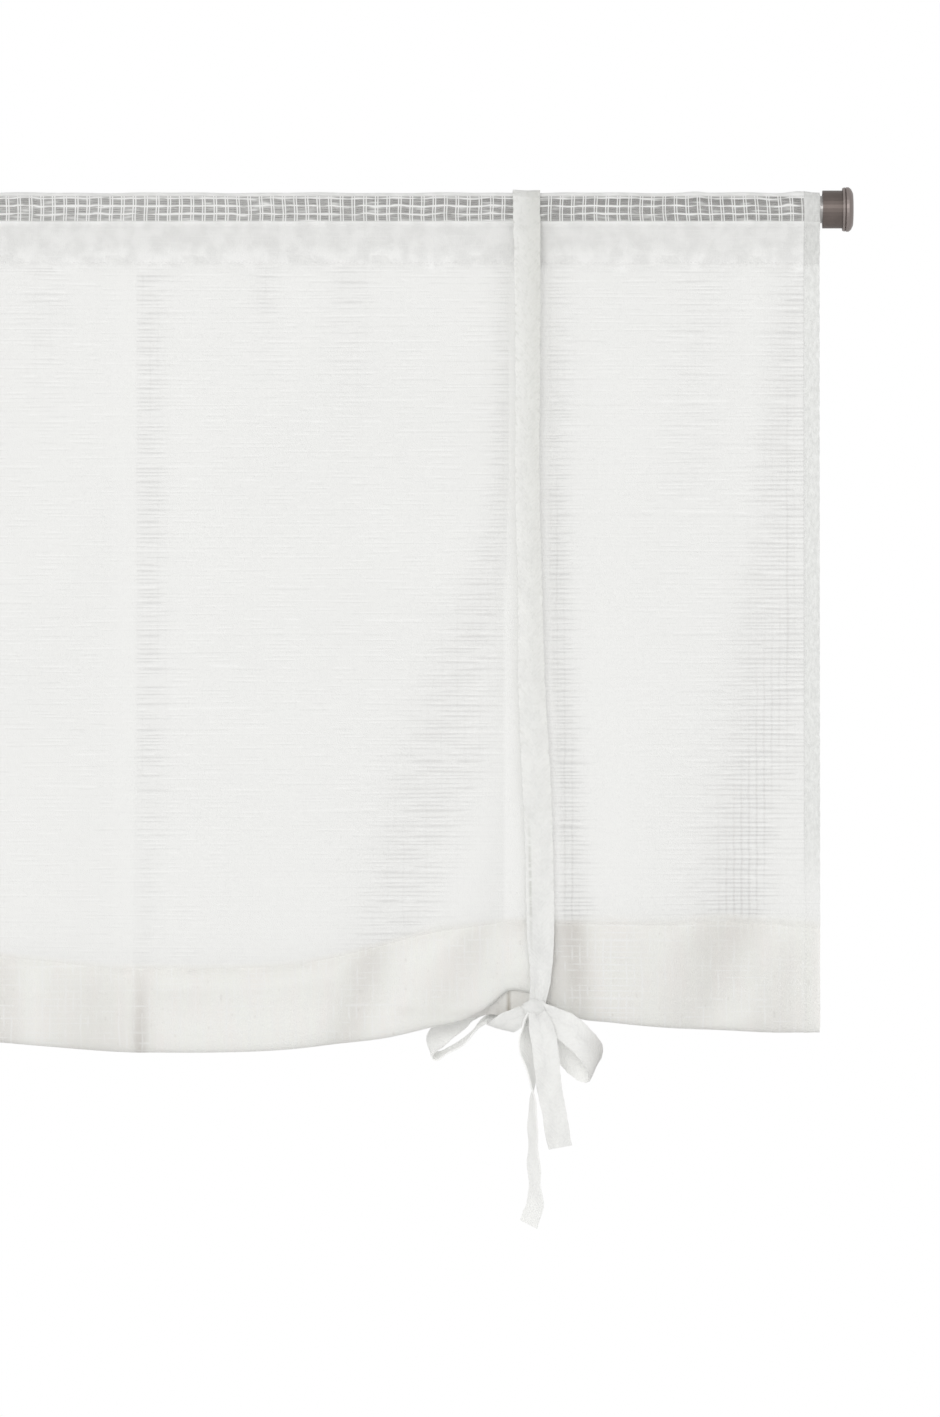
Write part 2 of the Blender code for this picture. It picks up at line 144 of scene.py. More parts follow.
key_data = bpy.data.lights.new("key_lamp", "AREA")
key_data.shape, key_data.size, key_data.energy = "DISK", KEY_SIZE, KEY_POWER
key_lamp = bpy.data.objects.new("key_lamp", key_data)
key_lamp.location = KEY_PLACE
key_lamp.rotation_euler = (Vector(KEY_AIM) - Vector(KEY_PLACE)).to_track_quat("-Z", "Y").to_euler()
bpy.context.scene.collection.objects.link(key_lamp)

world = bpy.data.worlds.new("studio")
world.use_nodes = True
bpy.context.scene.world = world
sky = world.node_tree
direct = math_node("LESS_THAN", from_node(sky, "ShaderNodeLightPath", output="Transparent Depth"), HALF)
ground = direct * (GROUND_STRENGTH - THROUGH_STRENGTH) + (THROUGH_STRENGTH - SURROUND_STRENGTH)
from_camera = from_node(sky, "ShaderNodeLightPath", output="Is Camera Ray")
put(from_camera * ground + SURROUND_STRENGTH, sky.nodes["Background"].inputs["Strength"])
put(WHITE, sky.nodes["Background"].inputs["Color"])
bpy.context.scene.view_settings.view_transform = "Standard"

bpy.ops.mesh.primitive_plane_add(size=FLOOR_SIZE, location=(0.0, 0.0, FLOOR_Z))
floor = bpy.context.object
floor.name = "floor"
floor_paint, _, floor_shader = new_material("floor_paint", FLOOR_ROUGHNESS)
put(FLOOR_COLOUR, floor_shader.inputs["Base Color"])
floor.data.materials.append(floor_paint)
print("one lamp of", KEY_POWER, "W and white surroundings")

# %% [markdown]
# The cloth goes up behind the rod, over it, down the front, and is rolled backwards at the bottom.
# It could be simulated from a flat sheet, but this cloth is already at rest and its shape is known,
# so it is built directly: a few measured cross-sections along the rod, with smooth curves between.
# A row says where it stands along the rod, where the roll's top and bottom are there, half the roll's
# depth, and how much lower its back hangs. All tables are in millimetres, as they were measured.

# %% Cross-sections of the cloth
MM = 1000.0
CLOTH_HALF_WIDTH = 0.500
POCKET_RADIUS, POCKET_WRAP = 0.0114, math.radians(105.0)
STITCH_Z, STITCH_HALF_GAP, BACK_HEM_END_Z = -0.0387, 0.0008, -0.0412
SECTIONS_OUTER = (
    (182.5, -532.5, -605.5, 12, 0),
    (217, -523.5, -597.5, 10.8, 0),
    (244, -519.5, -590.5, 9.6, 1),
    (260, -518, -581, 8.6, 9),
    (271, -517.2, -571.5, 8, 21),
    (284, -517.2, -571.2, 8, 23),
    (297, -517.2, -576.5, 8, 18),
    (308, -517.2, -585, 8.6, 9),
    (322, -517.2, -590.9, 9.5, 1),
    (348, -517.2, -594, 11, 0),
    (390, -517.2, -598, 12, 0),
    (434, -514.7, -600, 12.5, 0),
    (468, -517, -601.5, 12.5, 0),
    (MM * CLOTH_HALF_WIDTH, -520, -601, 11.8, 0),
)
SECTIONS_MIDDLE = (
    (-142, -536, -606, 12.5, 0),
    (-98.6, -541.7, -608.8, 13, 0),
    (-60, -546.2, -612, 13, 0),
    (-20, -550.6, -615.2, 13, 0),
    (0, -551, -616, 13.2, 0),
    (20, -551.2, -616.1, 13, 0),
    (60, -551.2, -616, 13, 0),
    (110, -549, -614, 13, 0),
    (148, -542.2, -609.8, 12.5, 0),
)
sections_left = tuple((-x, *rest) for x, *rest in reversed(SECTIONS_OUTER))
section_table = np.array(sections_left + SECTIONS_MIDDLE + SECTIONS_OUTER) / MM


def smooth_between(keys, values, wanted):
    """Values at the wanted places on a smooth curve through the rows of a table."""
    slopes = np.gradient(values, keys, axis=0)
    row = np.clip(np.searchsorted(keys, wanted) - 1, 0, len(keys) - 2)
    gap = (keys[row + 1] - keys[row])[:, None]
    t = (wanted - keys[row])[:, None] / gap
    return (
        values[row] * (2 * t**3 - 3 * t**2 + 1) + values[row + 1] * (3 * t**2 - 2 * t**3)
        + slopes[row] * gap * (t**3 - 2 * t**2 + t) + slopes[row + 1] * gap * (t**3 - t**2)
    )


def sections_at(x):
    """Roll top, roll bottom, half depth and back drop of the cloth at each place along the rod."""
    return smooth_between(section_table[:, 0], section_table[:, 1:], x).T


roll_top, roll_bottom = sections_at(np.array([0.0]))[:2, 0]
print(len(section_table), "cross-sections, roll", round(MM * (roll_top - roll_bottom)), "mm high mid-way")

# %% [markdown]
# A hanging cloth is never flat. Its soft folds run down and fan out from the ties, and one sharp
# crease is left from when the cloth lay folded in a packet. Each fold is a long bell-shaped valley
# or ridge that moves and widens on its way down, so a table row gives its upper and lower end.
# Moving every layer straight back or forward by the same amount keeps the layers apart.

# %% Folds of the cloth
Fold = namedtuple("Fold", "x_high z_high width_high depth_high x_low z_low width_low depth_low")
FOLDS_OUTER = (
    (297, -70, 9, 2, 319, -600, 15, 7.5),
    (252, -300, 22, 2, 186, -540, 32, 6),
    (264, -420, 13, -1, 240, -530, 15, -3),
    (372, -230, 36, -1, 366, -590, 34, -5.5),
    (484, -90, 13, 1.5, 436, -530, 22, 5.5),
    (461, -60, 10, -2, 454, -240, 12, -1),
    (168, -180, 18, 1.5, 165, -320, 22, 2),
    (205, -525, 14, 2, 150, -610, 16, 4),
    (452, -530, 14, 3, 404, -610, 18, 4),
)
FOLDS_MIDDLE = (
    (-20, -540, 24, 1.5, -28, -620, 24, 3),
    (-98, -500, 16, 1, -104, -620, 16, 3),
)
FOLDS_FINE = (
    (478, -535, 3.5, 1, 476, -600, 4, 1.3),
    (488, -535, 3, -0.8, 488, -600, 3.5, -1),
    (462, -545, 4, 0.9, 460, -600, 4.5, 1.2),
    (425, -560, 3.5, 0.6, 424, -600, 4, 0.9),
    (412, -555, 3, -0.5, 411, -600, 3.5, -0.7),
    (438, -560, 3, 0.6, 437, -600, 3, 0.8),
    (14, -490, 6, 1.2, 16, -615, 7, 2),
    (342, -540, 6, 0.8, 336, -590, 8, 1.2),
    (140, -250, 20, 0.6, 150, -420, 24, 1),
    (60, -350, 30, -0.6, 70, -540, 30, -1.2),
)
# The place and half width of each pucker, and its share of the full depth.
PUCKERS = (
    (37, 16, 0.8), (73, 9, -0.6), (110, 12, 0.6), (51, 6, 0.5),
    (151, 10, 0.9), (182, 8, 0.6), (221, 9, 0.7), (250, 7, -0.5),
    (310, 10, 0.8), (350, 8, -0.4), (405, 10, 0.9), (445, 8, 0.7),
    (478, 7, 0.8), (10, 7, 0.7), (-70, 15, 0.9), (-110, 12, -0.5),
)
FOLD_FADE, FOLDS_BEGIN_Z = 0.060, -0.030
CREASE_WIDTH, CREASE_DEPTH, CREASE_TOP_SHARE = 0.010, -0.0024, 0.35
CREASE_GROWS_BELOW, CREASE_GROWS_OVER = 0.20, 0.38
PUCKER_DEPTH, PUCKER_MIRROR_SHIFT, PUCKER_STRIP = 0.0009, 13, (-60, 30, -6, 12)


def ease(value):
    value = np.clip(value, 0.0, 1.0)
    return value * value * (3.0 - 2.0 * value)


def strip(value, limits, lower=0.0):
    """1 between two limits and 0 beyond: the low limit, its fade, the high limit and its fade, in mm."""
    low, low_fade, high, high_fade = np.array(limits) / MM
    return ease((value - low + lower) / low_fade) * ease((high - value) / high_fade)


def fold_rows(outer, middle, depth_unit=MM):
    """Rows for both sides, made from the right side's, and the rows of the middle, in metres."""
    left = tuple((-row[0], *row[1:4], -row[4], *row[5:]) for row in outer)
    return [Fold(*row) for row in np.array(outer + left + middle) / ((MM, MM, MM, depth_unit) * 2)]


def one_fold(fold, x, z):
    share = (fold.z_high - z) / (fold.z_high - fold.z_low)
    inside = np.clip(share, 0.0, 1.0)
    middle = fold.x_high + (fold.x_low - fold.x_high) * share
    width = fold.width_high + (fold.width_low - fold.width_high) * inside
    depth = fold.depth_high + (fold.depth_low - fold.depth_high) * inside
    beyond = np.maximum(np.maximum(z - fold.z_high, fold.z_low - z), 0.0)
    return depth * (1.0 - ease(beyond / FOLD_FADE)) * np.exp(-(((x - middle) / width) ** 2))


all_folds = fold_rows(FOLDS_OUTER, FOLDS_MIDDLE + FOLDS_FINE)


def fold_offset(x, z):
    """How far back the folds move the cloth at each place, in metres."""
    grown = ease((-z - CREASE_GROWS_BELOW) / CREASE_GROWS_OVER)
    crease_share = CREASE_TOP_SHARE + (1.0 - CREASE_TOP_SHARE) * grown
    total = CREASE_DEPTH * crease_share * np.exp(-np.abs(x) / CREASE_WIDTH)
    for fold in all_folds:
        total = total + one_fold(fold, x, z)
    return total * ease((FOLDS_BEGIN_Z - z) / FOLD_FADE)


def pucker_offset(x, z):
    """The small gathers between the rod and the stitches, which bulge to the front or the back."""
    total = np.zeros_like(x)
    for right, width, depth in PUCKERS:
        for middle in (right, -right - PUCKER_MIRROR_SHIFT):
            total = total + depth * np.exp(-(((x - middle / MM) / (width / MM)) ** 2))
    return total * strip(z, PUCKER_STRIP) * PUCKER_DEPTH


print(len(all_folds), "folds, a crease and", 2 * len(PUCKERS), "puckers")

# %% [markdown]
# Now the grid of the cloth is filled in: one column for each place along the rod, one row for each
# place along the cloth. The columns stand closer near the ties, where the roll is pinched. Each
# point also keeps where it lay on the flat cloth, in metres, as its UV. The weave reads that
# later, so the threads follow the cloth round the rod and into the roll at their true size.

# %% Grid of the cloth
ROLL_START, ROLL_SQUARENESS, CORE_HALF_DEPTH = math.radians(-30.0), 0.5, 0.0014
STEPS_IN_TURN = (30, 18, 12)
CLOTH_THICKNESS_CAD = 0.0012
EVEN_COLUMNS, TIE_COLUMNS, LEAST_COLUMN_GAP = 181, (0.252, 0.322, 27), 0.0006
HEM_COLUMNS, CREASE_COLUMNS = (0.4874, 0.4884), (0.0020, 0.0045)
BODY_ROWS, ROD_ROWS, FLANK_ROWS, ROWS_UNDER_ROD = 110, 29, 6, (0.158, 0.186)
BODY_BOW, DROP_FROM, DROP_OVER = 0.6, 0.05, 0.6
RIM_WEAR, RIM_WIDTH, RIM_WAVES = 0.0003, 0.006, (520.0, 173.0)
POCKET_RISE, POCKET_BUMPS = 0.0006, ((0.0010, 0.409, 0.006), (0.0013, 0.484, 0.007))
POCKET_WAVES = ((0.00025, 61.0, 0.0), (0.00018, 143.0, 1.0))


def waves_along(x, waves):
    return sum(height * np.sin(x * rate + start) for height, rate, start in waves)


def places_along_rod():
    even = np.linspace(-CLOTH_HALF_WIDTH, CLOTH_HALF_WIDTH, EVEN_COLUMNS)
    right = np.concatenate([np.linspace(*TIE_COLUMNS), HEM_COLUMNS, CREASE_COLUMNS])
    places = np.sort(np.concatenate([even, right, -right]))
    return places[np.concatenate([[True], np.diff(places) > LEAST_COLUMN_GAP])]


def pocket_path():
    """The cloth's line round the rod, the same at every place, from the back hem to the stitches."""
    up = np.linspace((STITCH_HALF_GAP, BACK_HEM_END_Z), (STITCH_HALF_GAP, STITCH_Z), 3)
    angles = np.linspace(-POCKET_WRAP, POCKET_WRAP, ROD_ROWS)
    over = POCKET_RADIUS * np.stack([-np.sin(angles), np.cos(angles)], axis=-1)
    shares = np.arange(1, FLANK_ROWS) / FLANK_ROWS
    back_shares = shares[:, None]
    down_shares = np.sort(np.concatenate([shares, ROWS_UNDER_ROD, [1.0]]))[:, None]
    back = up[-1] * (1.0 - back_shares) + over[0] * back_shares
    down = over[-1] * (1.0 - down_shares) + np.array((-STITCH_HALF_GAP, STITCH_Z)) * down_shares
    return np.vstack([up, back, over, down])


def roll_path(x):
    """The flattened spiral at each place: from the front, down, round the back and inwards."""
    top, bottom, half_depth, back_drop = sections_at(x)
    back_drop = np.maximum(back_drop, 0.0)
    pitch = (half_depth - CORE_HALF_DEPTH) / len(STEPS_IN_TURN)
    half_height = (top - bottom - CLOTH_THICKNESS_CAD + pitch) / 2.0
    middle = (top + bottom) / 2.0 + pitch / 4.0
    turns = [turn + np.arange(steps) / steps for turn, steps in enumerate(STEPS_IN_TURN)]
    turns = np.concatenate([*turns, [len(STEPS_IN_TURN)]])[:, None]
    angle = ROLL_START + 2.0 * math.pi * turns
    forward = np.sign(np.cos(angle)) * np.abs(np.cos(angle)) ** ROLL_SQUARENESS
    down = np.sign(np.sin(angle)) * np.abs(np.sin(angle)) ** ROLL_SQUARENESS
    y = -(half_depth - pitch * turns) * forward
    z = middle - (half_height - pitch * turns) * down
    drop = back_drop * ease((y / half_depth + DROP_FROM) / DROP_OVER) * ease((middle - z) / half_height)
    return y, z - drop, turns


def cloth_grid(x):
    """Points of the cloth and their flat lengths, rows along the cloth, columns along the rod."""
    pocket = pocket_path()
    roll_y, roll_z, turns = roll_path(x)
    share = np.linspace(0.0, 1.0, BODY_ROWS + 1)[1:-1, None]
    bow = BODY_BOW * share**2 + (1.0 - BODY_BOW) * share
    body_y = pocket[-1, 0] + (roll_y[0] - pocket[-1, 0]) * bow
    body_z = pocket[-1, 1] + (roll_z[0] - pocket[-1, 1]) * share
    wide = np.ones_like(x)
    y = np.vstack([pocket[:, :1] * wide, body_y, roll_y])
    z = np.vstack([pocket[:, 1:] * wide, body_z, roll_z])
    steps = np.hypot(np.diff(y, axis=0), np.diff(z, axis=0))
    length = np.vstack([0.0 * wide, np.cumsum(steps, axis=0)])
    length = length - length[np.argmin(pocket[:, 0])]
    rolled = np.vstack([np.zeros((len(pocket) + BODY_ROWS - 1, 1)), turns]) * wide
    across = wide[None, :] * x + 0.0 * y
    rim = ease((np.abs(across) - CLOTH_HALF_WIDTH + RIM_WIDTH) / RIM_WIDTH) * np.sign(across)
    wear = 1.0 + np.sin(length * RIM_WAVES[0]) * np.sin(length * RIM_WAVES[1] + 1.0)
    across = across - rim * RIM_WEAR * wear
    rise = POCKET_RISE + waves_along(x, POCKET_WAVES)
    for height, middle, width in POCKET_BUMPS:
        rise = rise + height * np.exp(-(((x - middle) / width) ** 2))
    lift = rise * ease(z / POCKET_RADIUS)
    points = np.stack([across, y + fold_offset(across, z) + pucker_offset(across, z), z + lift], axis=-1)
    return points, length, rolled


columns = places_along_rod()
cloth_points, cloth_length, cloth_turns = cloth_grid(columns)

# %% [markdown]
# The weave isn't equally open everywhere. Over the rod, beside the ties and near the side hems the
# cloth is pulled, its threads move together and small windows open between them. The same kind of
# table says where, with a share in place of a depth: 0 is closed cloth and 1 is as open as it gets.
# Where the cloth lies on more cloth, over the roll and over the pocket's back layer, nothing shows
# through it any more. All of this is worked out once for each point of the cloth and stored on the
# mesh under a name. It could be painted by hand, but a table can be corrected row by row.

# %% Where the weave is open and where it is backed
OPEN_OUTER = (
    (308, -10, 14, 0.26, 309, -250, 13, 0.78),
    (309, -250, 13, 0.78, 322, -515, 18, 0.94),
    (484, -40, 18, 0.62, 470, -300, 40, 0.66),
    (470, -300, 40, 0.68, 442, -515, 42, 0.84),
    (268, -40, 9, 0.36, 264, -230, 10, 0.50),
    (262, -230, 12, 0.54, 250, -300, 26, 0.58),
    (478, -80, 10, 0.66, 477, -320, 12, 0.80),
    (477, -320, 12, 0.72, 474, -440, 14, 0.66),
    (248, -300, 28, 0.60, 228, -390, 42, 0.62),
    (228, -390, 42, 0.62, 186, -530, 38, 0.64),
    (156, -45, 18, 0.58, 157, -120, 20, 0.34),
    (412, -50, 26, 0.46, 404, -200, 30, 0.30),
    (474, -50, 10, 0.42, 470, -140, 14, 0.20),
)
OPEN_MIDDLE = (
    (9, -45, 17, 0.62, 10, -380, 18, 0.58),
    (10, -380, 18, 0.58, 12, -500, 16, 0.26),
    (-64, -45, 20, 0.46, -64, -130, 24, 0.26),
    (95, -45, 14, 0.60, 96, -100, 16, 0.32),
)
CLOSED_UP_OUTER = (
    (346, -160, 22, 0.45, 346, -330, 28, 0.92),
    (346, -330, 28, 0.92, 356, -530, 28, 1.00),
    (266, -420, 12, 0.60, 240, -530, 26, 1.00),
    (478, -450, 10, 0.60, 480, -530, 16, 1.00),
)
CLOSED_UP_MIDDLE = (
    (105, -420, 50, 0.25, 105, -530, 62, 0.92),
    (-66, -420, 40, 0.20, -66, -530, 46, 0.60),
    (-8, -60, 8, 0.85, -8, -500, 9, 0.85),
)
# Where the roll gets warm painted shade, as in its folds; each row gives the share of that shade.
VALLEY_SHADES_OUTER = (
    (319, -512, 12, 0.95, 322, -556, 12, 0.80),
    (306, -545, 10, 0.66, 306, -585, 10, 0.36),
    (400, -596, 60, 0.30, 470, -600, 40, 0.30),
    (174, -532, 16, 0.55, 156, -600, 15, 0.42),
    (255.5, -514, 15, 0.34, 232, -558, 16, 0.36),
    (355, -535, 40, 0.20, 360, -590, 40, 0.22),
    (472, -560, 24, 0.30, 464, -600, 26, 0.36),
    (438, -515, 32, 0.60, 412, -570, 36, 0.38),
)
LIGHT_GRID_OUTER = (
    (354, -515, 26, 0.90, 347, -590, 26, 1.00),
    (276, -545, 12, 0.60, 262, -550, 12, 0.40),
    (190, -570, 14, 0.60, 188, -595, 14, 0.60),
)
LIGHT_GRID_MIDDLE = (
    (-50, -555, 30, 0.60, -60, -600, 30, 0.60),
    (80, -560, 40, 0.50, 80, -600, 40, 0.50),
)
VALLEY_SHADES_MIDDLE = (
    (4, -548, 7, 0.25, 4, -606, 6, 0.95),
    (-28, -560, 34, 0.30, -28, -606, 34, 0.40),
    (-55, -560, 14, 0.25, -55, -600, 14, 0.25),
    (-98, -545, 18, 0.38, -98, -606, 18, 0.46),
)
BACK_LEG_PLACES = (
    (-530, 279.2), (-420, 279.2), (-310, 279.6), (-200, 282.5), (-66, 283.6),
)
TIE_EDGE_PLACES = (
    (-526, 305.8), (-468, 305), (-417, 303.3), (-344, 299),
    (-281, 297.4), (-198, 295.2), (-88, 295.8),
)
CLOSED_SHARE, OPENNESS_LOST, CREASE_SIDE_REACH, CREASE_EDGE = 0.06, 0.85, 0.014, 0.002
BORDER_HEIGHT, BORDER_RISE, ROLL_SHADE_STRIP = 0.0050, -0.0013, (-18, 18, 3, 3)
OVER_ROD_STRIP, UNDER_ROD_LIGHT_STRIP, ON_TOP_STRIP = (-9.4, 1, 9.4, 1.2), (-14.5, 2, -8.4, 1), (8.4, 1.2, 99, 1)
HEADER_STRIP, SHADOW_STRIP, BELOW_ROD_STRIP = (-43.5, 5, -8.4, 1), (-50, 10, -40, 2), (-999, 1, -10, 4)
PAINTED_LIGHT_STRIP, BACK_LEG_STRIP = (-4, 2, 7.5, 4.5), (-1, 1, 10.8, 1.8)
HEADER_SHARE, HEADER_FADE_Z, HEADER_FADE, BACK_LEG_SHARE = 0.76, -0.0200, 0.018, 0.65
TURNED_FROM, TURNED_OVER, HOLLOW_X, HOLLOW_REACH, HOLLOW_TOP_Z = 0.28, 0.12, 0.278, 0.014, -0.560
RAW_END = 0.006
UNEVEN_WAVES = ((0.0010, 94.0, 0.0), (0.0006, 233.0, 1.0))
BORDER_UNEVEN, HEADER_UNEVEN, SHADOW_UNEVEN = 0.4, 2.0, 3.0


def largest_share(outer, middle, x, z):
    """The largest share that any of the rows gives each place."""
    return np.max([np.zeros_like(x)] + [one_fold(row, x, z) for row in fold_rows(outer, middle, 1.0)], axis=0)


def cloth_shares(x, z, turns):
    """All that the cloth's finish asks about its points, as shares from 0 to 1."""
    top = sections_at(x.ravel())[0].reshape(x.shape)
    uneven = waves_along(x, UNEVEN_WAVES)
    closed_up = largest_share(CLOSED_UP_OUTER, CLOSED_UP_MIDDLE, x, z)
    left_of_crease = np.exp(-((x / CREASE_SIDE_REACH) ** 2)) * (1.0 - ease(x / CREASE_EDGE))
    open_weave = largest_share(OPEN_OUTER, OPEN_MIDDLE, x, z) * (1.0 - left_of_crease)
    header = HEADER_SHARE + (1.0 - HEADER_SHARE) * ease((HEADER_FADE_Z - z) / HEADER_FADE)
    header = header * strip(z, HEADER_STRIP, HEADER_UNEVEN * uneven)
    from_edge = np.abs(x) - np.interp(z, *np.array(TIE_EDGE_PLACES).T / MM)
    from_leg = np.abs(np.abs(x) - np.interp(z, *np.array(BACK_LEG_PLACES).T / MM))
    below_rod = strip(z, BELOW_ROD_STRIP)
    behind_rod = np.arange(len(x))[:, None] < len(pocket_path()) // 2
    return {
        "open_weave": np.maximum(open_weave * (1.0 - OPENNESS_LOST * closed_up), CLOSED_SHARE),
        "closed_up": closed_up,
        "over_rod": strip(z, OVER_ROD_STRIP),
        # Under the rod the header colour is laid on in full: the doubled pocket, and painted light over the
        # shade where the cloth turns under the rod.
        "over_hem": np.max([header, strip(z, UNDER_ROD_LIGHT_STRIP), strip(z, ON_TOP_STRIP)], axis=0),
        # Painted shade in a band just below the header.
        "shade_below_header": strip(z, SHADOW_STRIP, SHADOW_UNEVEN * uneven),
        # Painted light: over the tie's back leg behind the cloth, where the cloth is also made opaque, and
        # along the tie's outer edge, where the tie casts its shadow on the cloth.
        "over_band": strip(from_leg, BACK_LEG_STRIP) * below_rod * BACK_LEG_SHARE,
        "painted_light_beside_tie": strip(from_edge, PAINTED_LIGHT_STRIP) * below_rod,
        "over_roll": ease((top + BORDER_RISE + BORDER_UNEVEN * uneven - z) / BORDER_HEIGHT + 0.5),
        # Painted shade just under the roll's top, and warm painted shade in the roll's valleys.
        "roll_shade": strip(z - top, ROLL_SHADE_STRIP),
        "painted_valley_shade": largest_share(VALLEY_SHADES_OUTER, VALLEY_SHADES_MIDDLE, x, z),
        "light_grid": largest_share(LIGHT_GRID_OUTER, LIGHT_GRID_MIDDLE, x, z),
        "turned_in": ease((turns - TURNED_FROM) / TURNED_OVER),
        # Painted light in the hollow by each knot, over the shade that the roll's front casts there; near the
        # knot it also holds a narrow painted shadow.
        "in_hollow": np.exp(-(((np.abs(x) - HOLLOW_X) / HOLLOW_REACH) ** 2)) * (z < HOLLOW_TOP_Z),
        "raw_end": behind_rod * ease((STITCH_Z + RAW_END - z) / RAW_END),
    }


panel_shares = cloth_shares(cloth_points[..., 0], cloth_points[..., 2], cloth_turns)
print(2 * len(OPEN_OUTER) + len(OPEN_MIDDLE), "open places and", len(panel_shares), "kinds of share")

# %% [markdown]
# A real cloth has two faces and an edge, so the grid gets a thickness with the Solidify modifier.
# The narrow side hems are the same cloth folded over and sewn, which is why they are thicker.
# A vertex group scales the thickness there, which is easier than building the fold itself.

# %% Cloth piece
CLOTH_THICKNESS, HEM_THICKNESS, HEM_WIDTH = 0.0006, 0.0011, 0.0118
RIM_ANGLE, HEM_INNER_X = math.radians(50.0), CLOTH_HALF_WIDTH - HEM_WIDTH


def grid_mesh(name, points, flat):
    """A mesh from rows of points, with a UV that holds each point's place on the flat cloth."""
    rows, across = points.shape[:2]
    index = np.arange(rows * across).reshape(rows, across)
    corners = np.stack([index[:-1, :-1], index[:-1, 1:], index[1:, 1:], index[1:, :-1]], axis=-1)
    mesh = bpy.data.meshes.new(name)
    mesh.from_pydata(points.reshape(-1, 3).tolist(), [], corners.reshape(-1, 4).tolist())
    layer = mesh.uv_layers.new(name="flat_cloth")
    layer.data.foreach_set("uv", flat.reshape(-1, 2)[corners.reshape(-1)].ravel())
    mesh.shade_smooth()
    return mesh


def new_piece(name, mesh, material):
    piece = bpy.data.objects.new(name, mesh)
    bpy.context.scene.collection.objects.link(piece)
    mesh.materials.append(material)
    return piece


def add_piece(name, mesh, material, replaces=()):
    piece = new_piece(name, mesh, material)
    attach(piece, "root")
    for node_name in replaces:
        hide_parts(node_name)
    return piece


def thicken(piece, thickness, share=None):
    modifier = piece.modifiers.new("thickness", "SOLIDIFY")
    modifier.thickness = thickness
    modifier.offset = 0.0
    modifier.use_even_offset = False
    if share is not None:
        group = piece.vertex_groups.new(name="thickness_share")
        for value in np.unique(share):
            group.add(np.nonzero(share == value)[0].tolist(), float(value), "REPLACE")
        modifier.vertex_group = group.name


def make_solid(piece):
    """Turns the modifiers into real faces, with crisp edges where the cloth's faces meet its rim."""
    bpy.context.view_layer.update()
    shown = piece.evaluated_get(bpy.context.evaluated_depsgraph_get())
    solid = bpy.data.meshes.new_from_object(shown)
    piece.modifiers.clear()
    piece.data = solid
    solid.set_sharp_from_angle(angle=RIM_ANGLE)
    return solid


def add_values(mesh, name, values):
    attribute = mesh.attributes.new(name, "FLOAT", "POINT")
    attribute.data.foreach_set("value", values.ravel().astype(np.float32))


slub_cloth, cloth_tree, cloth_shader = new_material("slub_cloth", roughness=0.85, sheen=0.15)
flat_places = np.stack([cloth_points[..., 0], cloth_length], axis=-1)
panel_mesh = grid_mesh("sheer_cloth", cloth_points, flat_places)
panel = add_piece("sheer_cloth", panel_mesh, slub_cloth, ["panel"])
in_hem = (np.abs(cloth_points[..., 0]) > HEM_INNER_X).ravel()
thicken(panel, HEM_THICKNESS, np.where(in_hem, 1.0, CLOTH_THICKNESS / HEM_THICKNESS))
for share_name, shares in panel_shares.items():
    add_values(panel_mesh, share_name, shares)
panel_solid = make_solid(panel)
print("cloth of", len(panel_solid.polygons), "faces")

# %% [markdown]
# The cloth is a loose plain weave of linen-like yarn. Pairs of warp threads stand about 8 mm apart,
# and weft threads cross them every 6 mm or so, with thin cloth in between that lets the rod show
# through. Modelling every thread would take millions of faces. Nodes that repeat along the flat
# cloth's own metres give the same look: where a thread is, the surface is white and nearly opaque, and
# between the threads it is half open and painted darker, as painted shade between the threads. A fine
# bump adds only the fuzz of the yarn.

# %% Helpers for woven finishes
MIX_COLOUR_A, MIX_COLOUR_B, MIX_COLOUR_OUT = 6, 7, 2
Patches = namedtuple("Patches", "stretch level gain detail", defaults=(1.0,))


def flat_place(tree):
    """The place on the flat cloth, and its two parts, across and along, in metres."""
    place = from_node(tree, "ShaderNodeUVMap", uv_map="flat_cloth")
    parts = [from_node(tree, "ShaderNodeSeparateXYZ", {"Vector": place}, axis) for axis in "XY"]
    return place, *parts


def read_values(tree, *names):
    return [from_node(tree, "ShaderNodeAttribute", output="Fac", attribute_name=name) for name in names]


def largest(first, *others):
    for other in others:
        first = math_node("MAXIMUM", first, other)
    return first


def clamp(value):
    return math_node("MINIMUM", largest(value, 0.0), 1.0)


def absolute(value):
    return math_node("ABSOLUTE", value)


def near(value, middle, reach, height=1.0):
    """Falls off evenly on both sides of the middle, and is kept between 0 and 1."""
    return clamp(absolute(value - middle) * (-1.0 / reach) + height)


def noise(place, stretch, detail=0.0):
    """Noise from 0 to 1, with so many patches to the metre in each of two or three directions."""
    tree, flat = place.socket.id_data, len(stretch) == 2
    scale = (*stretch, stretch[0]) if flat else stretch
    mapped = from_node(tree, "ShaderNodeMapping", {"Vector": place, "Scale": scale})
    inputs = {"Vector": mapped, "Scale": 1.0, "Detail": detail}
    return from_node(tree, "ShaderNodeTexNoise", inputs, noise_dimensions="2D" if flat else "3D")


def patches(place, kind):
    """Tapered patches from 0 to 1 where noise is above a level."""
    return clamp((noise(place, kind.stretch, kind.detail) - kind.level) * kind.gain)


def threads(place, pitch, sharpness=1.0, shift=0.0):
    """1 on each thread and 0 between, for threads that repeat with the pitch."""
    wave = math_node("COSINE", (place + shift) * (2.0 * math.pi / pitch)) * 0.5 + 0.5
    return math_node("POWER", wave, sharpness)


def blend(share, first, second):
    """The first colour where the share is 0 and the second where it is 1."""
    known = next(value for value in (share, first, second) if isinstance(value, Output))
    inputs = {0: share, MIX_COLOUR_A: first, MIX_COLOUR_B: second}
    return from_node(known.socket.id_data, "ShaderNodeMix", inputs, MIX_COLOUR_OUT, data_type="RGBA")


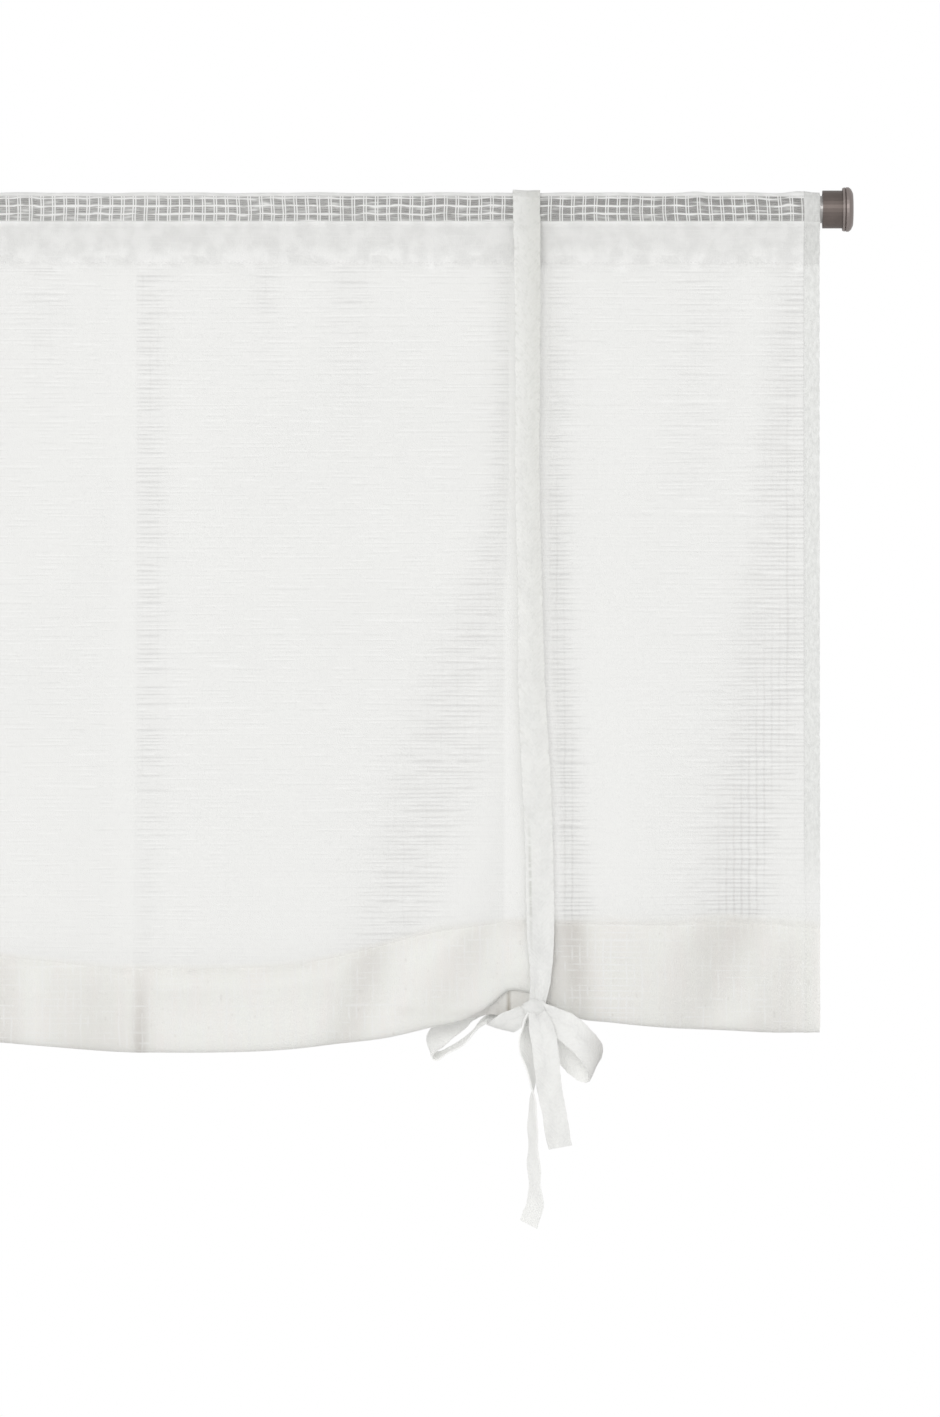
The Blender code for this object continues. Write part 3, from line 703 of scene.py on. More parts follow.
def layered(colour, layers):
    """A colour with others laid over it one after another, each with its share."""
    for share, over in layers:
        colour = blend(share, colour, over)
    return colour


def between(share, first, second):
    """The first value where the share is 0 and the second where it is 1."""
    inputs = {"Value": share, "To Min": first, "To Max": second}
    return from_node(share.socket.id_data, "ShaderNodeMapRange", inputs)


def bump(height, strength, distance):
    inputs = {"Height": height, "Strength": strength, "Distance": distance}
    return from_node(height.socket.id_data, "ShaderNodeBump", inputs)


def mix_surfaces(share, first, second):
    return from_node(second.socket.id_data, "ShaderNodeMixShader", {0: share, 1: first, 2: second})


def glowing(surface, share, look):
    """A surface that also lets some light through from behind."""
    return mix_surfaces(share, surface, from_node(surface.socket.id_data, "ShaderNodeBsdfTranslucent", look))


def see_through(share, surface):
    """A surface that is open where the share is low."""
    return mix_surfaces(share, from_node(surface.socket.id_data, "ShaderNodeBsdfTransparent"), surface)


print("helpers for woven finishes ready")

# %% [markdown]
# Real yarn never lies straight or even. It sways, drifts and swells into slubs, so the place that is
# asked about is pushed about by slow noise before the threads are drawn. Perfectly straight threads
# would look like a printed grid.

# %% Weave of the sheer cloth
WARP_PITCH, WARP_PAIR_HALF_GAP, WARP_SHARPNESS = 0.0084, 0.0009, 30.0
WEFT_PITCH, WEFT_START, WEFT_SHARPNESS = 0.0058, 0.0018, 7.0
THIN_WEFT_PITCH, THIN_WEFT_SHARPNESS, THIN_WEFT_SHARE = 0.0014, 2.0, 0.35
SWAY_STRETCH, SWAY, DRIFT_STRETCH, DRIFT = (9.0, 60.0), 0.0018, (55.0, 30.0), 0.0026
SLUB_STRETCH, SLUB_SIZE = (60.0, 420.0), 2.0

place, across, along = flat_place(cloth_tree)
openness, smooth, on_rod, on_hem, on_band = read_values(
    cloth_tree, "open_weave", "closed_up", "over_rod", "over_hem", "over_band")
on_roll, turned_in, on_grid = read_values(cloth_tree, "over_roll", "turned_in", "light_grid")
backed = largest(on_roll, turned_in, on_hem, on_band)

swayed = across + (noise(place, SWAY_STRETCH) - HALF) * SWAY
drifted = along + (noise(place, DRIFT_STRETCH, 1.0) - HALF) * DRIFT
warp = largest(*(threads(swayed, WARP_PITCH, WARP_SHARPNESS, side * WARP_PAIR_HALF_GAP) for side in (1, -1)))
weft = threads(drifted, WEFT_PITCH, WEFT_SHARPNESS, WEFT_START)
weft = weft + (noise(place, SLUB_STRETCH, 1.0) - HALF) * SLUB_SIZE
thin_weft = threads(drifted, THIN_WEFT_PITCH, THIN_WEFT_SHARPNESS) * THIN_WEFT_SHARE
grid = largest(warp, weft, thin_weft)
print("weave with", round(1.0 / WARP_PITCH), "thread pairs to the metre")

# %% [markdown]
# Away from the rod the cloth shows short level gaps between its weft threads: dark and close together
# where it is pulled open, pale and few where it is closed. Rows of thin threads cut by patches of
# noise give such dashes. On the roll the layers behind close the gaps, and only lighter threads show.

# %% Gaps between the threads
GAP_PITCH, LIGHT_SHIFT, WANDER_STRETCH, WANDER = 0.0034, 0.0012, (2.5, 85.0), 0.0075
OPEN_STRETCH, OPEN_LEVEL_FROM, OPEN_LEVEL_TO, OPEN_GAIN = (34.0, 290.0), 0.52, 0.20, 4.5
CLOSED_GAPS, FAINT_UPRIGHTS = Patches((42.0, 210.0), 0.50, 9.0), Patches((150.0, 14.0), 0.45, 4.0)
ROLL_PATCHES, ROLL_DASHES = Patches((26.0, 40.0), 0.40, 5.0), Patches((70.0, 150.0), 0.68, 10.0)
ROLL_COLUMNS, ROLL_ROWS = Patches((140.0, 60.0), 0.42, 6.0), Patches((60.0, 190.0), 0.46, 6.0)
SOFT, FIRM, THIN, FINE = 2.0, 4.0, 7.0, 10.0
CLOSED_STRENGTH, OPEN_STRENGTH, LIGHT_STRENGTH, ROLL_LIGHT_STRENGTH = 0.15, 0.62, 0.52, 0.95
UPRIGHT_PITCH, UPRIGHT_FROM, UPRIGHT_OVER = 0.0056, 0.62, 0.30
UPRIGHT_STRENGTH, FAINT_UPRIGHT_STRENGTH = 0.50, 0.10
ROLL_WARP_PITCH, ROLL_WEFT_PITCH, PATCH_SHARE, PATCH_LEAST = 0.0056, 0.0048, 0.35, 0.25
ROD_VEIL_REACH, ROD_VEIL_SHARE = 0.36, 0.50

rows = along + noise(place, WANDER_STRETCH, 1.0) * WANDER
level = between(openness, OPEN_LEVEL_FROM, OPEN_LEVEL_TO)
open_dashes = patches(place, Patches(OPEN_STRETCH, level, OPEN_GAIN)) * openness * OPEN_STRENGTH
open_dashes = open_dashes * threads(rows, GAP_PITCH, SOFT)
dashed = patches(place, CLOSED_GAPS) * (1.0 - smooth)
closed_dashes = dashed * threads(rows, GAP_PITCH, THIN) * CLOSED_STRENGTH
drawn = clamp((openness - UPRIGHT_FROM) * (1.0 / UPRIGHT_OVER)) * UPRIGHT_STRENGTH
faint = patches(place, FAINT_UPRIGHTS) * FAINT_UPRIGHT_STRENGTH * openness
upright = largest(drawn, faint) * threads(swayed, UPRIGHT_PITCH, FIRM)
gaps = (largest(open_dashes, closed_dashes) + upright) * (1.0 - backed)
from_middle = absolute(across)
veil = largest(ROD_VEIL_REACH - from_middle, 0.0) * ROD_VEIL_SHARE
woven = clamp(between(on_rod, 1.0 - gaps, veil + grid))

light = dashed * threads(rows, GAP_PITCH, THIN, LIGHT_SHIFT) * LIGHT_STRENGTH
roll_columns = threads(swayed, ROLL_WARP_PITCH, THIN) * patches(place, ROLL_COLUMNS)
roll_rows = threads(rows, ROLL_WEFT_PITCH, THIN)
roll_light = largest(roll_columns, roll_rows * patches(place, ROLL_ROWS), roll_rows * on_grid)
roll_light = roll_light * largest(on_grid, patches(place, ROLL_PATCHES) * PATCH_SHARE + PATCH_LEAST)
light = between(on_roll, light, roll_light * ROLL_LIGHT_STRENGTH)
ribs = threads(swayed, WARP_PITCH)
dashes = threads(swayed, WARP_PITCH, FINE, HALF * WARP_PITCH) * patches(place, ROLL_DASHES)
hem = math_node("GREATER_THAN", from_middle, HEM_INNER_X)
print("gaps start where the cloth is more than", CLOSED_SHARE, "open")

# %% [markdown]
# The colours are laid over one another like washes: cells and threads first, with painted shade in
# the cells, then pale, uneven clouding that also lays painted shade where the weave is open and just
# below the header, painted light beside the ties and over their back legs, the header, the roll with
# warm painted shade in its valleys and under its top, and the hems with a painted shadow along their
# inner edge. Inside the roll the turned-in layers get painted shade, and the hollow by each knot gets
# painted light and a small painted shadow. White cloth this thin also glows with the light behind it
# and lets some of the background show, so the surface is mixed with light that comes through and
# with nothing at all. Rays that have bounced, and shadows, meet a plain cloth of the same tone,
# which looks the same and takes a third of the time.

# %% Colour, relief and openings of the sheer cloth
THREAD, BRIGHT_THREAD = (0.900, 0.900, 0.888), (0.97, 0.97, 0.96)
# The cells are painted darker than the threads, and darker still where the weave is open: painted shade
# between the threads.
CLOSED_CELL, OPEN_CELL, CLOUD_AND_PAINTED_SHADE = (0.66, 0.66, 0.65), (0.46, 0.46, 0.45), (0.72, 0.72, 0.71)
HEADER_LIGHT, HEADER_SHADE, PAINTED_LIGHT_NEAR_TIE = (0.995, 0.995, 0.985), (0.905, 0.905, 0.895), (1.0, 1.0, 0.99)
ROLL_FRONT, ROLL_TINTED, ROLL_RIB = (0.980, 0.984, 0.945), (0.980, 0.963, 0.933), (0.96, 0.96, 0.945)
ROLL_DASH, ROLL_VALLEY_SHADE, ROLLED_SHADE = (0.68, 0.66, 0.63), (0.73, 0.705, 0.67), (0.90, 0.875, 0.84)
HEM_DARK, HEM_LIGHT, HEM_EDGE_SHADOW = (0.75, 0.755, 0.74), (0.855, 0.86, 0.845), (0.62, 0.62, 0.61)
HOLLOW_PAINTED_LIGHT, HOLLOW_PAINTED_SHADOW, PLAIN_CLOTH = (1.0, 0.975, 0.93), (0.34, 0.27, 0.19), (0.88, 0.88, 0.865)
MOTTLE, ROLL_TINT = Patches((85.0, 70.0), 1.3 / 3.6, 3.6, 2.0), Patches((75.0, 26.0), 1.1 / 3.0, 3.0)
CRINKLE, CLOUD_STRETCH, FUZZ_STRETCH = Patches((420.0, 200.0), 0.25, 2.0), (14.0, 10.0), (1500.0, 1500.0)
CLOUD_SHARE, OPEN_WEAVE_SHADE, BELOW_HEADER_SHADE, BELOW_HEADER_LEAST = 0.10, 0.33, 0.16, 0.6
PAINTED_LIGHT_SHARE, RIB_SHARE, DASH_SHARE, ROLL_SHADE_SHARE, ROLLED_SHADE_SHARE = 0.9, 0.26, 0.30, 0.30, 0.3
HEM_FADE_FROM, HEM_FADE, HEM_SHADOW_HALF_WIDTH, HEM_SHADOW_SHARE = 0.455, 0.050, 0.0005, 0.32
HOLLOW_SHADOW_X, HOLLOW_SHADOW_HALF_WIDTH, RAW_END_OPEN = 0.2727, 0.0024, 0.85
HEM_RELIEF, HEADER_RELIEF, CLOTH_BUMP, CLOTH_BUMP_DEPTH = 0.8, 1.2, 0.5, 0.0004
CLOSED_CELL_ALPHA, OPEN_CELL_ALPHA, THREAD_ALPHA, ROD_THREAD_ALPHA = 0.66, 0.20, 0.82, 0.92
HEM_ALPHA, PLAIN_CLOSED_ALPHA, PLAIN_OPEN_ALPHA, CLOTH_GLOW = 0.85, 0.80, 0.55, 0.30

shade_below_header, painted_light_beside_tie, roll_shade, valley_shade, in_hollow, raw_end = read_values(
    cloth_tree, "shade_below_header", "painted_light_beside_tie", "roll_shade", "painted_valley_shade", "in_hollow", "raw_end")
open_share = largest(openness, on_rod)
mottle, crinkle = patches(place, MOTTLE), patches(place, CRINKLE)
# Uneven tone from noise, plus painted shade where the weave is open and just below the header.
cloud_and_shade = noise(place, CLOUD_STRETCH) * CLOUD_SHARE * (1.0 - smooth) + openness * OPEN_WEAVE_SHADE
below = shade_below_header * (mottle * (1.0 - BELOW_HEADER_LEAST) + BELOW_HEADER_LEAST)
hem_left = 1.0 - clamp((along - HEM_FADE_FROM) * (1.0 / HEM_FADE))
# A painted shadow: a thin dark line along the hem's inner edge.
hem_edge_shadow = math_node("LESS_THAN", absolute(from_middle - HEM_INNER_X), HEM_SHADOW_HALF_WIDTH)
roll_front = layered(blend(patches(place, ROLL_TINT), ROLL_FRONT, ROLL_TINTED), (
    (ribs * RIB_SHARE, ROLL_RIB),
    (dashes * DASH_SHARE, ROLL_DASH),
    # Warm painted shade in the roll's valleys and just under its top.
    (largest(valley_shade, roll_shade * ROLL_SHADE_SHARE), ROLL_VALLEY_SHADE),
))
front = blend(woven, blend(open_share, CLOSED_CELL, OPEN_CELL), blend(on_rod, THREAD, BRIGHT_THREAD))
front = layered(front, (
    (cloud_and_shade + below * BELOW_HEADER_SHADE, CLOUD_AND_PAINTED_SHADE),
    # Painted light over the tie's back leg and along the tie's outer edge.
    (largest(on_band, painted_light_beside_tie * PAINTED_LIGHT_SHARE), PAINTED_LIGHT_NEAR_TIE),
    (on_hem, blend(mottle, HEADER_LIGHT, HEADER_SHADE)),
    (on_roll, roll_front),
    (light, BRIGHT_THREAD),
    (hem * hem_left, blend(crinkle, HEM_DARK, HEM_LIGHT)),
    (hem_edge_shadow * hem_left * HEM_SHADOW_SHARE, HEM_EDGE_SHADOW),
))
# The turned-in layers of the roll are painted darker and warmer: painted shade inside the roll.
rolled = layered(roll_front, (
    (ROLLED_SHADE_SHARE, ROLLED_SHADE),
    # Painted light in the hollow by the knot, and a narrow dark-brown painted shadow near it.
    (in_hollow, HOLLOW_PAINTED_LIGHT),
    (near(from_middle, HOLLOW_SHADOW_X, HOLLOW_SHADOW_HALF_WIDTH) * in_hollow, HOLLOW_PAINTED_SHADOW),
))
cloth_colour = blend(turned_in, front, rolled)
relief = noise(place, FUZZ_STRETCH) + crinkle * hem * HEM_RELIEF - mottle * on_hem * HEADER_RELIEF
cloth_normal = bump(relief, CLOTH_BUMP, CLOTH_BUMP_DEPTH)
put(cloth_colour, cloth_shader.inputs["Base Color"])
put(cloth_normal, cloth_shader.inputs["Normal"])

cell_alpha = between(open_share, CLOSED_CELL_ALPHA, OPEN_CELL_ALPHA)
thread_alpha = between(on_rod, THREAD_ALPHA, ROD_THREAD_ALPHA)
filled = largest(between(woven, cell_alpha, thread_alpha), hem * HEM_ALPHA, backed)
filled = filled * (1.0 - raw_end * RAW_END_OPEN)
plain_filled = largest(between(open_share, PLAIN_CLOSED_ALPHA, PLAIN_OPEN_ALPHA), backed)
cloth_look = {"Color": cloth_colour, "Normal": cloth_normal}
detailed = see_through(filled, glowing(Output(cloth_shader.outputs[0]), CLOTH_GLOW, cloth_look))
plain_look = {"Color": PLAIN_CLOTH}
plain_front = from_node(cloth_tree, "ShaderNodeBsdfDiffuse", plain_look)
plain = see_through(plain_filled, glowing(plain_front, CLOTH_GLOW, plain_look))
shadow_ray = from_node(cloth_tree, "ShaderNodeLightPath", output="Is Shadow Ray")
bounces = from_node(cloth_tree, "ShaderNodeLightPath", output="Ray Depth")
later = math_node("GREATER_THAN", largest(shadow_ray, bounces), HALF)
put(mix_surfaces(later, detailed, plain), cloth_tree.nodes["Material Output"].inputs["Surface"])
print("cells let through", round((1.0 - OPEN_CELL_ALPHA) ** 2, 2), "of what is behind where it is open")

# %% [markdown]
# Each tie is one long band of the same yarn, folded double and sewn, 20 mm wide. Where it is pulled
# together it can't get narrower, so it crumples into small pleats. A table gives the band's middle,
# the direction across it and its width at each place. Where the width is less than the full one, the
# difference goes into a wave across the band. That looks right from close by and costs few faces.

# %% Shape of the ties
TIE_THICKNESS, TIE_WIDTH = 0.0012, 0.0197
TIE_TOP_X, TIE_TOP_RADIUS = 285.8, 13.15
TIE_FRONT_LEG = (
    (286.7, -12.7, -88, 1, 0, 0, 18.2),
    (286.4, -11.8, -198, 1, 0, 0, 17.5),
    (288.5, -11.2, -281, 1, 0, 0, 17.7),
    (289.4, -10.8, -344, 1, 0, 0, 19.3),
    (293, -10.4, -417, 1, 0, 0, 20.5),
    (295, -10.2, -468, 1, 0, 0, 20.1),
    (295.9, -10.2, -526, 1, 0, 0, 19.8),
    (296.2, -10.8, -556, 1, 0, 0, 16),
    (294.6, -13.8, -574, 1, 0, 0, 12.5),
    (293, -16.8, -581, 1, 0, 0, 10.5),
)
TIE_BACK_LEG = (
    (283.6, 13.2, -66, 1, 0, 0, 19.7),
    (282.5, 12.8, -200, 1, 0, 0, 19.7),
    (279.6, 12.4, -310, 1, 0, 0, 19.7),
    (279.2, 12, -420, 1, 0, 0, 19.7),
    (279, 11.8, -526, 1, 0, 0, 19.7),
    (275.5, 11.8, -562, 1, 0, 0, 20),
    (270, 11.6, -584.5, 1, 0, -0.08, 20.5),
    (267, 8.8, -594, 1, 0, -0.20, 20.5),
    (266.5, 2, -597.2, 1, 0, -0.28, 20),
    (268.5, -6, -596.2, 0.97, 0, -0.32, 19.8),
    (273, -11, -592.5, 0.90, 0, -0.45, 19.5),
    (281.2, -12.8, -588.8, 0.73, 0, -0.68, 16.5),
    (288.5, -13, -585.8, 0.58, 0, -0.81, 12.5),
)
BOW_RIGHT_LOOP = (
    (295, -16, -583.5, -0.50, 0.00, -0.87, 11),
    (304.5, -20, -590, -0.56, 0.00, -0.83, 18),
    (315.3, -23, -596.4, -0.58, -0.05, -0.81, 21.2),
    (326.8, -23.5, -606.8, -0.60, -0.10, -0.79, 21.2),
    (335.2, -19.5, -618.2, -0.56, -0.15, -0.81, 20.4),
    (335.6, -13.5, -627.2, -0.48, -0.10, -0.87, 17.5),
    (330, -8.5, -628.5, -0.45, 0.00, -0.88, 18),
    (321.5, -6.5, -623, -0.50, 0.05, -0.86, 18.5),
    (312, -7.5, -612, -0.55, 0.05, -0.83, 17.5),
    (303, -10.5, -598.5, -0.60, 0.00, -0.80, 14),
    (294.5, -14, -586, -0.70, 0.00, -0.70, 10.5),
)
BOW_LEFT_LOOP = (
    (269, 17.2, -582, 0.00, 0.30, 0.94, 7),
    (259, 18.2, -581, 0.00, 0.30, 0.94, 13),
    (247, 18.5, -584, -0.10, 0.30, 0.94, 17),
    (235, 19, -592.5, -0.30, 0.35, 0.88, 19),
    (224, 18, -601.5, -0.40, 0.50, 0.75, 19.5),
    (216.5, 16.5, -609, -0.35, 0.75, 0.55, 19.5),
    (215.5, 15.5, -615.5, -0.15, 0.92, 0.35, 19.5),
    (220.5, 15, -618.5, 0.00, 0.97, 0.25, 19.5),
    (229, 15, -614.5, 0.05, 0.97, 0.22, 19),
    (237, 15.5, -610, 0.10, 0.96, 0.25, 18.5),
    (245, 16, -603.5, 0.15, 0.95, 0.30, 17),
    (252, 16.5, -595.5, 0.20, 0.90, 0.35, 14.5),
    (260, 14, -590, 0.20, 0.85, 0.40, 10.5),
    (269, 13.5, -587.5, 0.20, 0.80, 0.45, 5),
)
BOW_SHORT_TAIL = (
    (293.5, -17, -585, 1.00, 0.00, 0.00, 13),
    (295.8, -22.5, -593, 1.00, 0.00, 0.00, 17),
    (298, -26.2, -603, 1.00, 0.05, 0.00, 19.2),
    (299.5, -27.5, -614, 1.00, 0.05, 0.00, 19),
    (300.8, -26.5, -627, 1.00, 0.08, 0.00, 18.7),
    (302.2, -24.5, -640, 1.00, 0.10, 0.00, 18.6),
    (306.2, -22.5, -660.5, 0.98, 0.15, 0.00, 18),
    (307.8, -22, -672, 0.96, 0.25, 0.00, 18.5),
    (310.2, -22.5, -683.5, 0.94, 0.30, 0.15, 18),
)
BOW_LONG_TAIL = (
    (288.5, -15, -585, 0.50, 0.85, 0.00, 9),
    (285, -14.5, -594, 0.42, 0.91, 0.00, 13),
    (284.5, -15, -602, 0.48, 0.88, 0.00, 17),
    (286.2, -15.5, -612, 0.55, 0.83, 0.00, 19.5),
    (289, -15.5, -626, 0.40, 0.92, 0.00, 19.7),
    (290.4, -15.5, -639, 0.12, 0.99, 0.00, 19.7),
    (290.2, -15, -650.5, -0.20, 0.98, 0.00, 19.7),
    (290.4, -14.5, -678, -0.33, 0.94, 0.00, 19.7),
    (291.4, -14, -706, -0.42, 0.90, 0.00, 19.7),
    (292.2, -14, -723.5, -0.52, 0.85, 0.00, 19.7),
    (289.5, -14.5, -732.5, -0.62, 0.76, 0.12, 19.7),
    (287.3, -15, -740, -0.62, 0.72, 0.26, 19.7),
)

# %% [markdown]
# A band is made from its table in two steps: a smooth curve through the rows, cut into even steps, and
# then points across it that wave in and out. Each band has its own seed, so no two are crumpled alike.

# %% Bands and pleats
BAND_STEP, CURVE_STEPS, BAND_POINTS_ACROSS, TOP_ROWS = 0.0030, 24, 11, 9
PLEATS, PLEAT_DRIFT, PLEAT_LIMIT, PLEAT_FREE_SHARE, EDGE_WEAR = 1.5, 9.0, 0.0014, 0.82, 0.00028
RIPPLES = (0.00035, 0.00025, 0.00018)
RIPPLE_RATES, RIPPLE_SLANTS, RIPPLE_STARTS = (8, 45), (-1.0, 1.0), (0, 6)
BAND_UNITS = (MM, MM, MM, 1.0, 1.0, 1.0, MM)


def tie_top():
    """The band where it lies over the pocket, from the back to the front."""
    angles, radius, width = np.radians(np.linspace(-90.0, 90.0, TOP_ROWS)), TIE_TOP_RADIUS, MM * TIE_WIDTH
    return tuple((TIE_TOP_X, -radius * math.sin(a), radius * math.cos(a), 1, 0, 0, width) for a in angles)


def unit(vectors):
    return vectors / np.linalg.norm(vectors, axis=-1, keepdims=True)


def length_along(line):
    steps = np.linalg.norm(np.diff(line, axis=0), axis=1)
    return np.concatenate([[0.0], np.cumsum(steps)])


def at_lengths(wanted, length, line):
    return np.stack([np.interp(wanted, length, column) for column in line.T], axis=-1)


def even_rows(table):
    """The rows of a band on a smooth curve, at even steps along it, and the length up to each."""
    fine_keys = np.linspace(0.0, len(table) - 1.0, (len(table) - 1) * CURVE_STEPS + 1)
    fine = smooth_between(np.arange(len(table), dtype=float), table, fine_keys)
    length = length_along(fine[:, :3])
    wanted = np.linspace(0.0, length[-1], int(length[-1] / BAND_STEP) + 2)
    return at_lengths(wanted, length, fine), wanted


def band_points(rows, side, seed):
    """Points of a crumpled band that follows the rows of a table, and their flat places."""
    table, length = even_rows(np.array(rows) / BAND_UNITS)
    middle, direction, width = table[:, :3], unit(table[:, 3:6]), table[:, 6]
    outward = unit(np.cross(direction, np.gradient(middle, axis=0)))
    s = np.linspace(-0.5, 0.5, BAND_POINTS_ACROSS)
    pull = np.sqrt(np.maximum(PLEAT_FREE_SHARE * TIE_WIDTH / width - 1.0, 0.0))
    depth = np.minimum(width / (math.pi * PLEATS) * pull, PLEAT_LIMIT)
    waves = np.cos(2.0 * math.pi * PLEATS * s[None, :] + seed + PLEAT_DRIFT * length[:, None])
    random = np.random.default_rng(seed)
    drawn = [random.uniform(*limits, len(RIPPLES)) for limits in (RIPPLE_RATES, RIPPLE_SLANTS, RIPPLE_STARTS)]
    ripple = sum(
        size * np.sin(2.0 * math.pi * (length[:, None] * rate + slant * s[None, :]) + start)
        for size, rate, slant, start in zip(RIPPLES, *drawn)
    )
    reach = s[None, :] * width[:, None]
    reach[:, [0, -1]] += random.uniform(-EDGE_WEAR, EDGE_WEAR, (len(length), 2))
    points = middle[:, None] + direction[:, None] * reach[..., None]
    points = points + outward[:, None] * (depth[:, None] * waves + ripple)[..., None]
    points[..., 0] *= side
    return points, np.stack(np.broadcast_arrays(s[None, :] * TIE_WIDTH, length[:, None]), axis=-1)


def band_piece(name, rows, side, seed, material):
    points, flat = band_points(rows, side, seed)
    piece = new_piece(name, grid_mesh(name, points, flat), material)
    thicken(piece, TIE_THICKNESS)
    return piece, float(flat[-1, 0, 1])


print("front leg from", TIE_FRONT_LEG[0][2], "to", TIE_FRONT_LEG[-1][2], "mm above the rod's axis")

# %% [markdown]
# The knot itself is a small ball of crumpled cloth, half covered by the band that comes down to it.
# It could be tied for real in a simulation, but a soft ellipsoid with uneven waves looks the same at
# this size. All parts of a tie are then joined into one mesh, because they were cut as one band.

# %% Knots
KNOT_CENTRE, KNOT_RADII = (0.2920, -0.0150, -0.5825), (0.0095, 0.0056, 0.0066)
ROOT_CENTRE, ROOT_RADII = (0.2690, 0.0150, -0.5840), (0.0050, 0.0048, 0.0060)
KNOT_DETAIL, KNOT_FLAT_SIZE, FIRST_SEED = 4, 0.03, 3
CRUMPLES = ((0.05, (7.0, 0.0, 3.0)), (0.05, (0.0, -4.0, 9.0)), (0.03, (13.0, 0.0, 0.0)))
LOOP_BEND_FROM, LOOP_BEND_REACH = 0.325, 0.014
INSIDE_LOOP_Y, INSIDE_LOOP_FADE, LOOP_INSIDE_SHARE = -0.0150, 0.004, 1.2
LONG_TAIL_SHARE, TAIL_TOP_SHARE, TAIL_TOP_Z, TAIL_TOP_FADE = 0.75, 0.45, -0.640, 0.030


def knot_ball(name, centre, radii, side, material):
    bpy.ops.mesh.primitive_ico_sphere_add(subdivisions=KNOT_DETAIL, radius=1.0)
    ball = bpy.context.object
    ball.name = name
    points = np.array([tuple(vertex.co) for vertex in ball.data.vertices])
    crumple = 1.0 + sum(depth * np.sin(points @ np.array(rates)) for depth, rates in CRUMPLES)
    points = points * crumple[:, None] * np.array(radii) + np.array(centre)
    points[:, 0] *= side
    ball.data.vertices.foreach_set("co", points.ravel())
    ball.data.shade_smooth()
    ball.data.uv_layers[0].name = "flat_cloth"
    for loop in ball.data.uv_layers[0].data:
        loop.uv = loop.uv * KNOT_FLAT_SIZE
    ball.data.materials.append(material)
    return ball


def mark_light(piece, rows, side):
    """Stores where the right loop's far bend gets painted shade, and where parts of the bow lie in the shade
    of the rest and get painted light.
    """
    x, y, z = np.array([tuple(vertex.co) for vertex in piece.data.vertices]).T
    bend = ease((x * side - LOOP_BEND_FROM) / LOOP_BEND_REACH)
    inside_loop = ease((y - INSIDE_LOOP_Y) / INSIDE_LOOP_FADE) * LOOP_INSIDE_SHARE
    long_tail = LONG_TAIL_SHARE + TAIL_TOP_SHARE * ease((z - TAIL_TOP_Z) / TAIL_TOP_FADE)
    in_shade = inside_loop * (rows is BOW_RIGHT_LOOP) + long_tail * (rows is BOW_LONG_TAIL)
    add_values(piece.data, "loop_bend_shade", bend * (rows is BOW_RIGHT_LOOP))
    add_values(piece.data, "in_shade", in_shade + float(rows is BOW_LEFT_LOOP))


def make_tie(label, side, material):
    name = "tie_cloth_" + label
    sling = TIE_BACK_LEG[::-1] + tie_top() + TIE_FRONT_LEG
    made, total = [], 0.0
    for number, rows in enumerate((sling, BOW_RIGHT_LOOP, BOW_LEFT_LOOP, BOW_SHORT_TAIL, BOW_LONG_TAIL)):
        piece, length = band_piece(name + str(number), rows, side, number + FIRST_SEED, material)
        mark_light(piece, rows, side)
        made.append(piece)
        total += length
    for piece in made:
        make_solid(piece)
    made.append(knot_ball(name + "_knot", KNOT_CENTRE, KNOT_RADII, side, material))
    made.append(knot_ball(name + "_root", ROOT_CENTRE, ROOT_RADII, side, material))
    with bpy.context.temp_override(active_object=made[0], selected_editable_objects=made):
        bpy.ops.object.join()
    tie = made[0]
    tie.name = tie.data.name = name
    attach(tie, "root")
    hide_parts("tie_" + label)
    print(name, "is", round(total, 2), "m long")


tie_cloth, tie_tree, tie_shader = new_material("doubled_tie_cloth", roughness=0.88, sheen=0.2)
make_tie("right", 1, tie_cloth)
make_tie("left", -1, tie_cloth)

# %% [markdown]
# The tie's cloth is double, so it is opaque and whiter than the panel. Close up it shows slanting
# rows of yarn that change direction halfway, and its edges are a little darker where they wear. The
# band is also darker about the top of the front leg, fading along it and strongest on its outer half.
# The right loop's far bend gets painted shade, a fold low on the front leg a painted shadow, and the
# parts of the bow that lie in shade get painted light.

# %% Finish of the ties
TIE_COLOUR, TIE_SHADE, TIE_DARKENED = (0.92, 0.92, 0.905), (0.815, 0.815, 0.805), (0.80, 0.80, 0.772)
TIE_MARK_AND_SHADOW, LOOP_BEND_SHADE, PAINTED_FILL_LIGHT = (0.66, 0.665, 0.63), (0.62, 0.605, 0.58), (1.0, 1.0, 0.985)
TWILL_PITCH, YARN_STRETCH, CLOUDY_STRETCH, NOISE_DETAIL = 0.0032, (560.0, 420.0), (110.0, 60.0), 2.0
YARN_SHARE, CLOUDY_SHARE, SHADE_LEVEL = 0.6, 1.2, 0.70
DARKER_MIDDLE, DARKER_REACH, DARKER_HEIGHT, OUTER_HALF_REACH, OUTER_HALF_MIDDLE, INNER_HALF_SHARE = 0.68, 0.48, 1.1, 0.014, 0.55, 0.2
MARKS, MARK_EDGE_GAIN, MARK_EDGE_LEVEL, MARK_LEAST = Patches((330.0, 210.0), 0.52, 7.0), 420.0, 3.2, 0.4
MARK_DARKER_SHARE, MARK_SHARE, BEND_SHADE_SHARE, FILL_LIGHT_SHARE = 0.5, 0.2, 0.45, 0.65
PLEAT_SHADOW_X, PLEAT_SHADOW_HALF_WIDTH, PLEAT_SHADOW_SHARE = -0.0068, 0.0016, 0.8
PLEAT_SHADOW_MIDDLE, PLEAT_SHADOW_REACH, PLEAT_SHADOW_HEIGHT = 1.180, 0.044, 1.3
